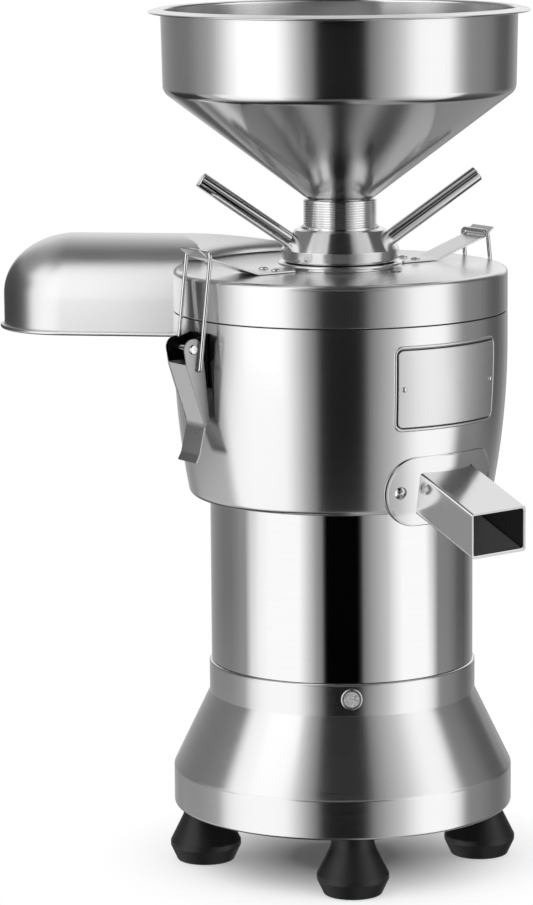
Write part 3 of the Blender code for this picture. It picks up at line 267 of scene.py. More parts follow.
def cutWith(piece, cutter, operation="DIFFERENCE", crease=35.0):
    # the exact boolean with a grid or an object is applied at once and the cutter removed
    if isinstance(cutter, np.ndarray):
        cutter = gridObject("cutter", [cutter])
    tool = piece.modifiers.new("cut", "BOOLEAN")
    tool.object, tool.operation, tool.solver = cutter, operation, "EXACT"
    bpy.context.view_layer.update()
    mesh = bpy.data.meshes.new_from_object(piece.evaluated_get(bpy.context.evaluated_depsgraph_get()))
    piece.modifiers.clear()
    old, piece.data = piece.data, mesh
    bpy.data.meshes.remove(old)
    mesh.name = piece.name
    bpy.data.objects.remove(cutter)
    cleanMesh(mesh, crease)


def emptyLook(name):
    look = bpy.data.materials.new(name)
    look.use_nodes = True
    look.node_tree.nodes.clear()
    return look


def newLook(name, colour, roughness, metallic=1.0):
    look = bpy.data.materials.new(name)
    look.use_nodes = True
    shader = look.node_tree.nodes["Principled BSDF"]
    shader.inputs["Base Color"].default_value = (*colour, 1.0)
    shader.inputs["Roughness"].default_value = roughness
    shader.inputs["Metallic"].default_value = metallic
    return look, shader


def addNode(look, kind, inputs=(), **settings):
    node = look.node_tree.nodes.new(kind)
    for key, value in settings.items():
        setattr(node, key, value)
    for key, value in dict(inputs).items():
        if isinstance(value, bpy.types.NodeSocket):
            look.node_tree.links.new(value, node.inputs[key])
        else:
            node.inputs[key].default_value = value
    return node


def mathNode(look, operation, a, b=0.0, c=0.0):
    node = addNode(look, "ShaderNodeMath", {0: a, 1: b, 2: c}, operation=operation)
    return node.outputs[0]


def vectorNode(look, operation, a, b=(0.0, 0.0, 0.0)):
    return addNode(look, "ShaderNodeVectorMath", {0: a, 1: b}, operation=operation).outputs


def rangeNode(look, value, low, high, toLow, toHigh):
    inputs = {"Value": value, "From Min": low, "From Max": high, "To Min": toLow, "To Max": toHigh}
    return addNode(look, "ShaderNodeMapRange", inputs).outputs["Result"]


def mixTone(look, factor, first, second):
    # colours, or a single number for a grey
    first, second = [(t, t, t, 1.0) if isinstance(t, float) else t for t in (first, second)]
    mix = addNode(look, "ShaderNodeMix", {0: factor, 6: first, 7: second}, data_type="RGBA")
    return mix.outputs[2]


def axisOf(look, vector, axis):
    return addNode(look, "ShaderNodeSeparateXYZ", {0: vector}).outputs[axis]


def objectPoint(look, centred=True):
    # object coordinates, moved so that the shaft is their z axis
    coordinate = addNode(look, "ShaderNodeTexCoord").outputs["Object"]
    if not centred:
        return coordinate
    mapping = addNode(look, "ShaderNodeMapping", {"Vector": coordinate, "Location": (-shaftX, 0.0, 0.0)})
    return mapping.outputs["Vector"]


def grainPoint(look, point, around, across):
    # (direction round the shaft * around, (r + z) * across): stretched along circles round the shaft
    flat = vectorNode(look, "MULTIPLY", point, (1.0, 1.0, 0.0))[0]
    radius = vectorNode(look, "LENGTH", flat)["Value"]
    compass = vectorNode(look, "NORMALIZE", flat)[0]
    spread = vectorNode(look, "MULTIPLY", compass, (around, around, around))[0]
    depth = mathNode(look, "MULTIPLY", mathNode(look, "ADD", radius, axisOf(look, point, "Z")), across)
    return vectorNode(look, "ADD", spread, addNode(look, "ShaderNodeCombineXYZ", {"Z": depth}).outputs[0])[0]


def noiseOf(look, vector, scale, detail=2.0, roughness=0.5):
    inputs = {"Vector": vector, "Scale": scale, "Detail": detail, "Roughness": roughness}
    return addNode(look, "ShaderNodeTexNoise", inputs).outputs["Fac"]


def linkTo(look, value, shader, socket):
    look.node_tree.links.new(value, shader.inputs[socket])


def wear(look, shader, noise, colour, darkest, roughness, spread):
    # a noise, mostly between 0.3 and 0.7, drives the tone from darkest to 1 and the roughness by spread
    linkTo(look, rangeNode(look, noise, 0.3, 0.7, roughness - spread, roughness + spread), shader, "Roughness")
    tone = rangeNode(look, noise, 0.3, 0.7, darkest, 1.0)
    linkTo(look, mixTone(look, tone, 0.0, (*colour, 1.0)), shader, "Base Color")


def bumpFrom(look, shader, height, strength, distance=0.0002):
    bump = addNode(look, "ShaderNodeBump", {"Height": height, "Strength": strength, "Distance": distance})
    linkTo(look, bump.outputs["Normal"], shader, "Normal")


def blend(look, first, second, share):
    return mathNode(look, "ADD", mathNode(look, "MULTIPLY", first, share),
                    mathNode(look, "MULTIPLY", second, 1.0 - share))


def turnedSteel(name, colour, roughness, spread, brush, depth, anisotropy, around=2.2):
    # metal worked on a lathe or spun: fine marks run round the shaft, and a highlight
    # stretches across them, along the meridian; a cloudy noise stands for handling
    look, shader = newLook(name, colour, roughness)
    point = objectPoint(look)
    marks = noiseOf(look, grainPoint(look, point, around, brush), 1.0, 3.0, 0.65)
    mixed = blend(look, marks, noiseOf(look, point, 9.0), 0.65)
    wear(look, shader, mixed, colour, 0.975, roughness, spread)
    if depth:
        bumpFrom(look, shader, marks, depth)
    if anisotropy:
        shader.inputs["Anisotropic"].default_value = anisotropy
        back = mathNode(look, "MULTIPLY", axisOf(look, point, "Y"), -1.0)
        ring = addNode(look, "ShaderNodeCombineXYZ", {"X": back, "Y": axisOf(look, point, "X")})
        turn = addNode(look, "ShaderNodeVectorTransform", {0: ring.outputs[0]},
                       vector_type="VECTOR", convert_from="OBJECT", convert_to="WORLD")
        normal = addNode(look, "ShaderNodeNewGeometry").outputs["Normal"]
        linkTo(look, vectorNode(look, "CROSS_PRODUCT", normal, turn.outputs[0])[0], shader, "Tangent")
    return look


def sheetSteel(name, colour, roughness, spread, stretch, depth):
    # rolled sheet: a noise stretched along one axis, finer across it
    look, shader = newLook(name, colour, roughness)
    point = objectPoint(look)
    mapped = addNode(look, "ShaderNodeMapping", {"Vector": point, "Scale": stretch}).outputs["Vector"]
    marks = noiseOf(look, mapped, 1.0, 3.0, 0.6)
    wear(look, shader, blend(look, marks, noiseOf(look, point, 14.0), 0.6), colour, 0.96, roughness, spread)
    bumpFrom(look, shader, marks, depth)
    return look


def dullLook(name, colour, roughness, scale, depth, contrast=0.25, metallic=0.0, detail=4.0):
    # cast, moulded or rubber surfaces: one noise for tone, roughness and grain
    look, shader = newLook(name, colour, roughness, metallic)
    grain = noiseOf(look, objectPoint(look, False), scale, detail, 0.6)
    wear(look, shader, grain, colour, 1.0 - contrast, roughness, 0.06)
    bumpFrom(look, shader, grain, depth, 0.0004)
    return look


# turned: name, colour, roughness, its spread, marks per metre, their depth, stretch of the highlight
# sheet: name, colour, roughness, its spread, marks per metre in x, y and z, their depth
# dull: name, colour, roughness, grains per metre, their depth, contrast, metallic
steelTone, sheetTone, blackTone = (0.80, 0.80, 0.805), (0.80, 0.80, 0.80), (0.012, 0.012, 0.013)
looks = {
    "housing_steel": turnedSteel("drumSteel", steelTone, 0.20, 0.02, 900.0, 0.04, 0.6),
    "lid_steel": turnedSteel("lidSteel", steelTone, 0.24, 0.03, 1100.0, 0.05, 0.7),
    "hopper_steel": turnedSteel("hopperSteel", steelTone, 0.19, 0.02, 700.0, 0.03, 0.6),
    "base_steel": turnedSteel("baseSteel", steelTone, 0.21, 0.03, 900.0, 0.04, 0.6),
    "tube_steel": turnedSteel("tubeSteel", steelTone, 0.065, 0.005, 300.0, 0.0, 0.0),
    "turned_steel": turnedSteel("latheSteel", steelTone, 0.09, 0.02, 1600.0, 0.02, 0.2),
    "bright_steel": turnedSteel("polishedSteel", (0.82, 0.82, 0.82), 0.10, 0.02, 500.0, 0.0, 0.0),
    "hood_steel": sheetSteel("hoodSteel", sheetTone, 0.33, 0.03, (40.0, 700.0, 700.0), 0.05),
    "sheet_steel": sheetSteel("spoutSteel", (0.78, 0.78, 0.78), 0.13, 0.02, (260.0, 260.0, 60.0), 0.008),
    "plate_steel": sheetSteel("plateSteel", sheetTone, 0.34, 0.03, (90.0, 90.0, 1300.0), 0.05),
    "latch_steel": sheetSteel("latchSteel", sheetTone, 0.30, 0.03, (300.0, 300.0, 300.0), 0.02),
    "button_cap": dullLook("buttonCap", (0.72, 0.72, 0.73), 0.42, 800.0, 1.0, 0.85, 0.3),
    "iron": dullLook("castIron", (0.16, 0.16, 0.17), 0.55, 900.0, 0.5, 0.3, 0.8),
    "copper_winding": dullLook("copperWire", (0.62, 0.24, 0.09), 0.35, 1400.0, 0.6, 0.4, 1.0),
    "grindstone": dullLook("gritStone", (0.45, 0.44, 0.42), 0.85, 1300.0, 1.0, 0.5),
    "black_rubber": dullLook("blackRubber", (0.007, 0.007, 0.0075), 0.42, 700.0, 0.12, 0.3),
    "black_plastic": dullLook("blackPlastic", (0.03, 0.03, 0.032), 0.42, 1200.0, 0.15, 0.3),
}
hubSteel = turnedSteel("hubSteel", steelTone, 0.13, 0.02, 1200.0, 0.03, 0.5)
leverSteel = sheetSteel("leverSteel", sheetTone, 0.30, 0.03, (300.0, 300.0, 300.0), 0.02)
# near black look for the sheet inside the chute: painted shade
ductShade = dullLook("ductShade", blackTone, 0.45, 500.0, 0.1, 0.3, 0.9)
# the latch brackets are near black: painted shade for the shadow they sit in
bracketShade = dullLook("bracketShade", (0.010, 0.010, 0.011), 0.40, 900.0, 0.1, 0.3, 0.9)
slotOf = {row["node"]: row["material_slot"] for row in frame["record"]["subparts"]}
for nodeName, nodeObject in frame["nodes"].items():
    for materialSlot in nodeObject.material_slots:
        materialSlot.material = looks[slotOf[nodeName]]
print("materials made:", len(looks))

hopper = {
    "profile": [(0.0247, 0.5269), (0.0247, 0.5521), (0.0276, 0.5524, 0.0012), (0.1426, 0.6393, 0.0095),
                (0.1439, 0.7062, 0.0022), (0.1535, 0.7034)],  # spigot, throat, cone, bowl, rim
    "wall": 0.0012, "bead": 0.0011, "beadHeight": 0.8, "beadAt": (0.1532, 0.7032), "segments": 192,
    # below the crease of cone and bowl the colour is darkened: painted shade
    "shadeLevel": 0.6393, "shadeEdge": 0.004, "paintedShadeTone": 0.68, "roughnessBelow": 0.75,
}


def paintShadeBelow(look, s):
    # under the level the colour is multiplied by the tone, a painted shade on the cone, and the roughness by its
    # own share
    height = axisOf(look, objectPoint(look, False), "Z")
    shader = look.node_tree.nodes["Principled BSDF"]
    low, high = s["shadeLevel"] - s["shadeEdge"], s["shadeLevel"] + s["shadeEdge"]
    colour, rough = [shader.inputs[name].links[0].from_socket for name in ("Base Color", "Roughness")]
    linkTo(look, mixTone(look, rangeNode(look, height, low, high, s["paintedShadeTone"], 1.0), 0.0, colour),
           shader, "Base Color")
    share = rangeNode(look, height, low, high, s["roughnessBelow"], 1.0)
    linkTo(look, mathNode(look, "MULTIPLY", rough, share), shader, "Roughness")


paintShadeBelow(looks["hopper_steel"], hopper)
hopperLoop = sheetLoop(filletLine(hopper["profile"], 8), hopper["wall"])
beadTurn = np.linspace(0, 2 * np.pi, 13)[:-1]
beadLoop = hopper["beadAt"] + hopper["bead"] * np.c_[np.cos(beadTurn), hopper["beadHeight"] * np.sin(beadTurn)]
newPiece("hopper", [place(turned(loop, hopper["segments"]), shaft) for loop in (hopperLoop, beadLoop)],
         "hopper_steel", "hopper", body="hopper_body")
print("hopper made")

feed = {
    "radius": 0.0298, "bore": 0.0256, "throat": 0.0222, "bottom": 0.4332, "shoulder": 0.5266, "top": 0.5509,
    "threadStart": 0.5240, "pitch": 0.0020, "threadDepth": 0.0006, "rowsPerTurn": 12, "chamfer": 0.0004,
    "segments": 128,
}


def threadedTube(f):
    # outside radius = crest - depth * (0.5 - 0.5 cos(2 pi (z / pitch - a / 2 pi)))^3, a right hand thread,
    # whose depth grows from nothing over the first and last turn; then over the top and down the bore
    turns = (f["top"] - f["threadStart"]) / f["pitch"]
    z = np.linspace(f["threadStart"], f["top"] - f["threadDepth"], int(turns * f["rowsPerTurn"]))[:, None]
    a = np.linspace(0, 2 * np.pi, f["segments"] + 1)[None, :]
    wave = (0.5 - 0.5 * np.cos(2 * np.pi * z / f["pitch"] - a)) ** 3
    ends = np.clip((z - f["threadStart"]) / f["pitch"], 0, 1)
    ends = ends * np.clip((f["top"] - f["chamfer"] - z) / (2 * f["threadDepth"]), 0, 1)
    crest = f["radius"] - f["threadDepth"] * wave * ends
    thread = np.stack([crest * np.cos(a), crest * np.sin(a), z + 0 * a], axis=-1)
    inside = turned(np.array([
        (f["radius"] - f["threadDepth"], f["top"]), (f["bore"] + f["chamfer"], f["top"]),
        (f["bore"], f["top"] - f["chamfer"]), (f["bore"], f["shoulder"]), (f["throat"], f["shoulder"]),
        (f["throat"], f["bottom"]), (f["radius"], f["bottom"]), (f["radius"], f["threadStart"])]),
        f["segments"], False)
    return closeRows(np.concatenate([thread, inside]))


newPiece("feedTube", [place(threadedTube(feed), shaft)], "turned_steel", "feed_tube", body="feed", crease=50.0)

hub = {"segments": 160, "crease": 40.0, "profile": [  # bore, lower band, cone, collar
    (0.0301, 0.5004), (0.0473, 0.5004, 0.0030), (0.0481, 0.5104, 0.0006), (0.0367, 0.5264, 0.0012),
    (0.0330, 0.5264, 0.0005), (0.0318, 0.5271, 0.0004), (0.0318, 0.5294, 0.0008), (0.0301, 0.5294, 0.0004)]}
hubLoop = filletLine(hub["profile"], 5, True)
hubPiece = newPiece("adjustingHub", [place(turned(hubLoop, hub["segments"]), shaft)], "turned_steel",
                    "adjusting_hub", body="hub", look=hubSteel, crease=hub["crease"])

rods = {"profile": [(0, -0.0077), (0.0065, -0.0077), (0.0065, 0.0884, 0.0012), (0, 0.0884)], "angle": 19.0,
        "elevation": 35.0, "seatRadius": 0.0424, "seatLevel": 0.5184, "socket": (0.0070, -0.0080, 0.02)}


def rodAxes(angle):
    # along the rod last: outwards and up; the other two square to it
    turn, rise = np.radians(angle), np.radians(rods["elevation"])
    along = np.array([np.cos(turn) * np.cos(rise), np.sin(turn) * np.cos(rise), np.sin(rise)])
    side = np.array([-np.sin(turn), np.cos(turn), 0.0])
    return np.array([side, np.cross(along, side), along])


for rodName, rodNode, rodAngle in (("handleRodRight", "handle_rod_right", rods["angle"]),
                                   ("handleRodLeft", "handle_rod_left", rods["angle"] + 180)):
    seat, axes = radialPoint(rodAngle, rods["seatRadius"], rods["seatLevel"]), rodAxes(rodAngle)
    newPiece(rodName, [place(turned(filletLine(rods["profile"], 4), 40, False), seat, axes)], "turned_steel",
             rodNode, body="hub")
    cutWith(hubPiece, place(plug(*rods["socket"]), seat, axes), crease=hub["crease"])

washer = {"segments": 144, "profile": [(0.0301, 0.4955), (0.0462, 0.4955), (0.0462, 0.4979, 0.0006),
                                       (0.0510, 0.4979, 0.0007), (0.0510, 0.5001, 0.0012), (0.0301, 0.5001)]}
washerLoop = filletLine(washer["profile"], 5, True)
newPiece("thrustWasher", [place(turned(washerLoop, washer["segments"]), shaft)], "turned_steel",
         "thrust_washer", look=hubSteel)
print("stone adjustment made")

drum = {"radius": 0.1365, "bottom": 0.3098, "top": 0.4605, "straight": 0.0257, "drawIn": 0.0122,
        "wall": 0.0018, "floorFillet": 0.0056, "collarRadius": 0.0240, "collarTop": 0.3303,
        "collarWall": 0.0020, "bore": 0.0103, "wallRows": 18, "segments": 192,
        "outlet": ((0.10, -0.0274, 0.3125), (0.16, 0.0274, 0.3370))}
spoutAngle = -41.0


def drumRadius(level):
    # straight at the top, then radius - drawIn * (share of the way down)^2
    curveTop = drum["top"] - drum["straight"]
    drop = np.clip((curveTop - level) / (curveTop - drum["bottom"]), 0, 1)
    return drum["radius"] - drum["drawIn"] * drop**2


def drumSeat(angle, level, lift):
    # a place on the drum: its point, and its side, up and outward directions
    turn = np.radians(angle)
    slope = (drumRadius(level + 0.001) - drumRadius(level - 0.001)) / 0.002
    out = unit(np.array([np.cos(turn), np.sin(turn), -slope]))
    side = np.array([-np.sin(turn), np.cos(turn), 0.0])
    return radialPoint(angle, drumRadius(level), level) + out * lift, np.array([side, np.cross(out, side), out])


def wrapOnDrum(points, angle, lift):
    # (arc length, level, outward) goes to the radius drumRadius(level) + lift + outward
    # at the angle plus arc length / drum radius
    radius = drumRadius(points[..., 1]) + lift + points[..., 2]
    turn = np.radians(angle) + points[..., 0] / drum["radius"]
    return np.stack([shaftX + radius * np.cos(turn), radius * np.sin(turn), points[..., 1]], axis=-1)


def drumProfile(s):
    # down the outside, in along the floor, up and down the collar, and back up the inside
    levels = np.linspace(s["top"] - s["straight"], s["bottom"] + 0.007, s["wallRows"])
    outer = [(s["radius"], s["top"])] + [(float(drumRadius(z)), float(z)) for z in levels]
    outer += [(float(drumRadius(s["bottom"])), s["bottom"], s["floorFillet"]), (s["bore"], s["bottom"])]
    outer = filletLine(outer, 8)
    inner = offsetLine(outer[:-1], -s["wall"])
    inner = inner[inner[:, 0] > s["collarRadius"]]
    floor, inside = s["bottom"] + s["wall"], s["collarRadius"] - s["collarWall"]
    collar = [(s["bore"], floor), (inside, floor), (inside, s["collarTop"]), (s["collarRadius"], s["collarTop"]),
              (s["collarRadius"], floor)]
    return np.vstack([(inner[0, 0], s["top"]), outer, collar, inner[::-1]])


drumPiece = newPiece("drum", [place(turned(drumProfile(drum), drum["segments"]), shaft)], "housing_steel",
                     "grinding_chamber")

lid = {"high": 0.4952, "segments": 192, "profile": [  # top, edge, inner rim and back inside
    (0.0301, 0.4952), (0.1365, 0.4952, 0.0045), (0.1365, 0.4613, 0.0007), (0.1297, 0.4613), (0.1297, 0.4523),
    (0.1275, 0.4523), (0.1275, 0.4643), (0.1343, 0.4663), (0.1343, 0.4930), (0.0301, 0.4930)],
    "portAngle": -35.0, "portDistance": 0.0585, "port": (0.0065, 0.48, 0.51),
    "residueOutlet": ((-0.16, 0.018, 0.4670), (-0.02, 0.126, 0.4927))}
lidPiece = newPiece("lid", [place(turned(filletLine(lid["profile"], 7, True), lid["segments"]), shaft)],
                    "lid_steel", "lid")
cutWith(lidPiece, place(plug(*lid["port"]), radialPoint(lid["portAngle"], lid["portDistance"], 0)))
cutWith(lidPiece, place(boxGrid(*lid["residueOutlet"]), shaft))
cutWith(drumPiece, place(boxGrid(*drum["outlet"]), shaft, radialAxes(spoutAngle)))
print("lid and drum made")

plate = {"width": 0.1030, "height": 0.0615, "thickness": 0.0012, "corner": 0.0040, "middle": 0.4120,
         "edge": 0.0004, "lift": 0.0003, "gap": 0.0010, "frameWidth": 0.0026, "frameHeight": 0.0010,
         "sealSection": [(0.0001, 0.0), (0.0001, 0.0009), (0.0008, 0.0009), (0.0008, 0.0), (0.0001, 0.0)],
         "rivetInset": 0.0048, "rivetRadius": 0.0022, "rivetHeight": 0.0012}
plateOutline = spacedLoop(rounded(plate["width"], plate["height"], plate["corner"], plate["middle"]), 0.004)
plateSlab = slab(plateOutline, 0, plate["thickness"], plate["edge"], 10)
newPiece("nameplate", [wrapOnDrum(plateSlab, spoutAngle, plate["lift"])], "plate_steel", "nameplate")
newPiece("plateSeal", [wrapOnDrum(framedLoop(plateOutline, plate["sealSection"]), spoutAngle, 0.0)],
         "black_rubber")
bow = np.linspace(0, np.pi, 9)
frameSection = closeRows(np.c_[plate["gap"] + plate["frameWidth"] * (0.5 - 0.5 * np.cos(bow)),
                               plate["frameHeight"] * np.sin(bow)])
newPiece("plateFrame", [wrapOnDrum(framedLoop(plateOutline, frameSection), spoutAngle, 0.0)], "plate_steel")
rivetLine = domeLine(plate["rivetRadius"], plate["rivetHeight"])
for side, rivetName, rivetNode in ((-1, "plateRivetLeft", "plate_rivet_left"),
                                   (1, "plateRivetRight", "plate_rivet_right")):
    rivetArc = side * (plate["width"] / 2 - plate["rivetInset"])
    seat, axes = drumSeat(spoutAngle + np.degrees(rivetArc / drum["radius"]), plate["middle"],
                          plate["thickness"] + 0.0004)
    newPiece(rivetName, [place(turned(rivetLine, 24, False), seat, axes)], "bright_steel", rivetNode)

spout = {"width": 0.0580, "height": 0.0362, "reach": 0.1890, "floor": 0.3092, "floorFrom": 0.1243,
         "slope": 0.4188, "wall": 0.0016, "corner": 0.0024, "flangeLength": 0.1230, "flangeHeight": 0.0570,
         "flangeThickness": 0.0020, "flangeMiddle": 0.3284, "flangeLift": 0.0003, "screwSpread": 0.0470,
         "screw": (0.0052, 0.0028, 0.0026, 0.0036, 0.0019), "shadeSheetGap": 0.0002, "shadeSheetWall": 0.0005,
         "shadeSheetStart": 0.1340, "shadeSheetInset": 0.0010, "columns": 180}


def meetDrum(s, outline, seat):
    # how far out each point (across, height) of the outline meets the drum, settled by substitution
    start = np.full(len(outline), drum["radius"])
    for _ in range(12):
        level = s["floor"] - s["slope"] * (start - s["floorFrom"]) + outline[:, 1]
        start = np.sqrt(np.maximum((drumRadius(level) + seat) ** 2 - outline[:, 0] ** 2, 1e-6))
    return start


def ductGrid(s, outline, wall, start, end):
    # the outline is carried outwards from start to end, its foot at floor - slope (d - floorFrom),
    # and comes back a wall further in
    rows = []
    for loop, first, last in ((outline, start[0], end), (outline - outwardNormals(outline) * wall, end, start[1])):
        d = first + (last - first) * np.linspace(0, 1, 9)[:, None] + 0 * loop[:, 0]
        z = s["floor"] - s["slope"] * (d - s["floorFrom"]) + loop[:, 1]
        rows.append(np.stack([d, loop[:, 0] + 0 * d, z], axis=-1))
    return place(closeColumns(closeRows(np.concatenate(rows))), shaft, radialAxes(spoutAngle))


def ductOutline(s, inset):
    wide, high = s["width"] - 2 * inset, s["height"] - 2 * inset
    return spacedLoop(rounded(wide, high, s["corner"], s["height"] / 2, 4), 0.003)


def flangeGrid(s):
    # in the direction b from the flange's centre, the hole is a rectangle min(w / |cos b|, h / |sin b|) away,
    # and the stadium R / |sin b| away on its straight sides or L|cos b| + sqrt(R^2 - L^2 sin^2 b) on its ends
    b = np.linspace(0, 2 * np.pi, s["columns"] + 1)
    c, n = np.abs(np.cos(b)) + 1e-9, np.abs(np.sin(b)) + 1e-9
    radius = s["flangeHeight"] / 2
    straight = (s["flangeLength"] - s["flangeHeight"]) / 2
    onSide = radius / n
    onEnd = straight * c + np.sqrt(np.maximum(radius**2 - (straight * n) ** 2, 0))
    far = np.where(onSide * c <= straight, onSide, onEnd)
    near = np.minimum((s["width"] / 2 - s["wall"]) / c, (s["height"] / 2 - s["wall"]) / n)
    t = s["flangeThickness"]
    # each step is (share of the way from the hole to the edge, outset, outward height): the front face
    # with its pressed groove, the rounded edge, and the back face
    steps = [(share, 0.0, t) for share in np.linspace(0, 1, 9)[:-1]]
    steps += [(1.0, -0.0036, t), (1.0, -0.0033, t - 0.0006), (1.0, -0.0025, t - 0.0006), (1.0, -0.0022, t)]
    steps += [(1.0, -0.0011, t), (1.0, -0.0004, t * 0.82), (1.0, 0.0, t * 0.45), (1.0, 0.0, 0.0)]
    steps += [(share, 0.0, 0.0) for share in np.linspace(1, 0, 9)[1:]]
    share, outset, out = np.array(steps)[:, :, None].transpose(1, 0, 2)
    reach = near + (far - near) * share + outset
    points = np.stack([reach * np.cos(b), s["flangeMiddle"] + reach * np.sin(b), out + 0 * reach], axis=-1)
    return closeRows(points)


def crossHead(radius, height, recess, reach, width, rings=26, segments=72):
    # a low dome height (1 - (r / radius)^2.4), less a cross recess: two bars width wide and reach long,
    # whose walls slope by a smooth step
    r = np.linspace(0, 1, rings)[:, None] * radius
    a = np.linspace(0, 2 * np.pi, segments + 1)[None, :]
    x, y = r * np.cos(a), r * np.sin(a)
    z = height * (1 - (r / radius) ** 2.4) + 0 * a
    thin, long = np.minimum(np.abs(x), np.abs(y)), np.maximum(np.abs(x), np.abs(y))
    inside = np.clip((width / 2 - thin) / 0.0003, 0, 1) * np.clip((reach - long) / 0.0004, 0, 1)
    z = z - recess * inside * inside * (3 - 2 * inside)
    top = np.stack([x, y, z], axis=-1)
    return np.concatenate([top, 0 * top[:1]])


chuteOutline = ductOutline(spout, 0.0)
chuteStart = meetDrum(spout, chuteOutline, 0.0012), meetDrum(spout, chuteOutline, -0.0004)
chute = ductGrid(spout, chuteOutline, spout["wall"], chuteStart, spout["reach"])
spoutPiece = newPiece("spout", [wrapOnDrum(flangeGrid(spout), spoutAngle, spout["flangeLift"]), chute],
                      "sheet_steel", "spout", crease=30.0)
# a near black sheet inside the chute, no part of the spout: painted shade for its dark inside
shadeSheet = ductGrid(spout, ductOutline(spout, spout["wall"] + spout["shadeSheetGap"]), spout["shadeSheetWall"],
                  (spout["shadeSheetStart"],) * 2, spout["reach"] - spout["shadeSheetInset"])
shadeSheetPiece = newPiece("spoutShadeSheet", [shadeSheet], "sheet_steel", look=ductShade, crease=30.0)
spoutPiece.visible_glossy = shadeSheetPiece.visible_glossy = False  # keeps their mirror image off the motor tube
for side, screwName, screwNode in ((-1, "spoutScrewLeft", "spout_screw_left"),
                                   (1, "spoutScrewRight", "spout_screw_right")):
    seat, axes = drumSeat(spoutAngle + side * np.degrees(spout["screwSpread"] / drum["radius"]),
                          spout["flangeMiddle"], spout["flangeThickness"] + 0.0004)
    newPiece(screwName, [place(crossHead(*spout["screw"]), seat, axes)], "bright_steel", screwNode, crease=30.0)
print("nameplate and spout made")

hood = {"offset": 0.0720, "halfWidth": 0.0620, "reach": 0.2965, "bottom": 0.4342, "spring": 0.4632,
        "wallTop": 0.4512, "arch": 0.0500, "wall": 0.0015, "bead": 0.0018, "startX": 0.0150,
        "lidSeam": 0.0013, "drumGap": 0.0003, "coverRadius": 0.1220, "endRound": (0.0500, 0.0175),
        "endLevel": 0.4960, "cutFar": 0.20, "cutLow": 0.30, "cutHigh": 0.56, "openBelow": 0.0200,
        "screwAngle": 176.0, "screwDistance": 0.1110, "screw": (0.0030, 0.0015, 0.0010, 0.0020, 0.0009)}


def stadiumRows(s, inset, level):
    # row i is a stadium round the hood's centre line, inset[i] away from it at level[i]
    a = np.radians(np.concatenate([np.linspace(-90, 90, 49), np.linspace(90, 270, 49)]))
    centre = np.repeat([s["startX"], s["halfWidth"] - s["reach"]], 49)
    inset, level = np.asarray(inset)[:, None], np.asarray(level)[:, None]
    x = centre + inset * np.cos(a)
    return place(closeColumns(np.stack([x, s["offset"] + inset * np.sin(a), level + 0 * x], axis=-1)), shaft)


def capsule(s, margin, dip=0.0):
    # at the height share u the outline is narrower by the ellipse cos, and its level is spring + arch sin;
    # below the spring the walls drop straight
    half, arch = s["halfWidth"] - margin, s["arch"] - margin
    phi = np.linspace(0, np.pi / 2, 25)
    inset = np.concatenate([[0.0, 1.0, 1.0], np.cos(phi)]) * half
    level = np.concatenate([[s["bottom"] - dip] * 2, [s["wallTop"]], s["spring"] + arch * np.sin(phi)])
    return stadiumRows(s, inset, level)


def hoodLip(s):
    # a bead rolled outwards round the lower edge: a circle of the bead's radius beside the wall
    phi, t = np.linspace(0, 2 * np.pi, 15), s["bead"]
    return stadiumRows(s, s["halfWidth"] + t * 0.85 + t * np.cos(phi), s["bottom"] + t + t * np.sin(phi))


def coverCutter(s, wall=0.0):
    # over the lid the hood ends in a low edge that slopes up into its top: radius + a (1 - cos t), z + b sin t
    t = np.linspace(0, np.pi / 2, 13)
    across, rise = s["endRound"]
    near = s["coverRadius"] + wall
    bend = np.c_[near + across * (1 - np.cos(t)), s["endLevel"] + (rise - wall) * np.sin(t)]
    line = np.vstack([(0, s["cutLow"]), (near, s["cutLow"]), bend, (s["cutFar"], bend[-1, 1]),
                      (s["cutFar"], s["cutHigh"]), (0, s["cutHigh"])])
    return place(turned(line, 192, False), shaft)


hoodPiece = newPiece("residueHood", [capsule(hood, 0.0)], "hood_steel", "residue_hood", crease=30.0)
cutWith(hoodPiece, hoodLip(hood), "UNION", 30.0)
cutWith(hoodPiece, place(plug(drum["radius"] + hood["drumGap"], hood["cutLow"], lid["high"] + hood["lidSeam"],
                              192), shaft), crease=30.0)
cutWith(hoodPiece, coverCutter(hood), crease=30.0)
insideHood = gridObject("insideHood", [capsule(hood, hood["wall"], hood["openBelow"])])
cutWith(insideHood, coverCutter(hood, hood["wall"]))
cutWith(hoodPiece, insideHood, crease=30.0)
hoodScrewAt = radialPoint(hood["screwAngle"], hood["screwDistance"], lid["high"] + 0.0004)
newPiece("hoodScrew", [place(crossHead(*hood["screw"]), hoodScrewAt)], "bright_steel", "hood_screw", crease=30.0)
print("residue hood made")

tube = {"profile": [(0.1064, 0.1710), (0.1080, 0.1710, 0.0003), (0.1080, 0.3095, 0.0003), (0.1064, 0.3095)],
        "segments": 192}
newPiece("motorTube", [place(turned(filletLine(tube["profile"], 3, True), tube["segments"]), shaft)],
         "tube_steel", "motor_tube")

base = {"profile": [(0.1231, 0.0504), (0.1391, 0.0504, 0.0016), (0.1391, 0.0816, 0.0050), (0.1089, 0.1441, 0.0020),
                    (0.1089, 0.1698, 0.0012), (0.0929, 0.1698)],  # ledge, ring, cone, neck, ledge
        "wall": 0.0018, "segments": 192}
baseLoop = sheetLoop(filletLine(base["profile"], 8), base["wall"])
newPiece("baseSkirt", [place(turned(baseLoop, base["segments"]), shaft)], "base_steel", "base_skirt")

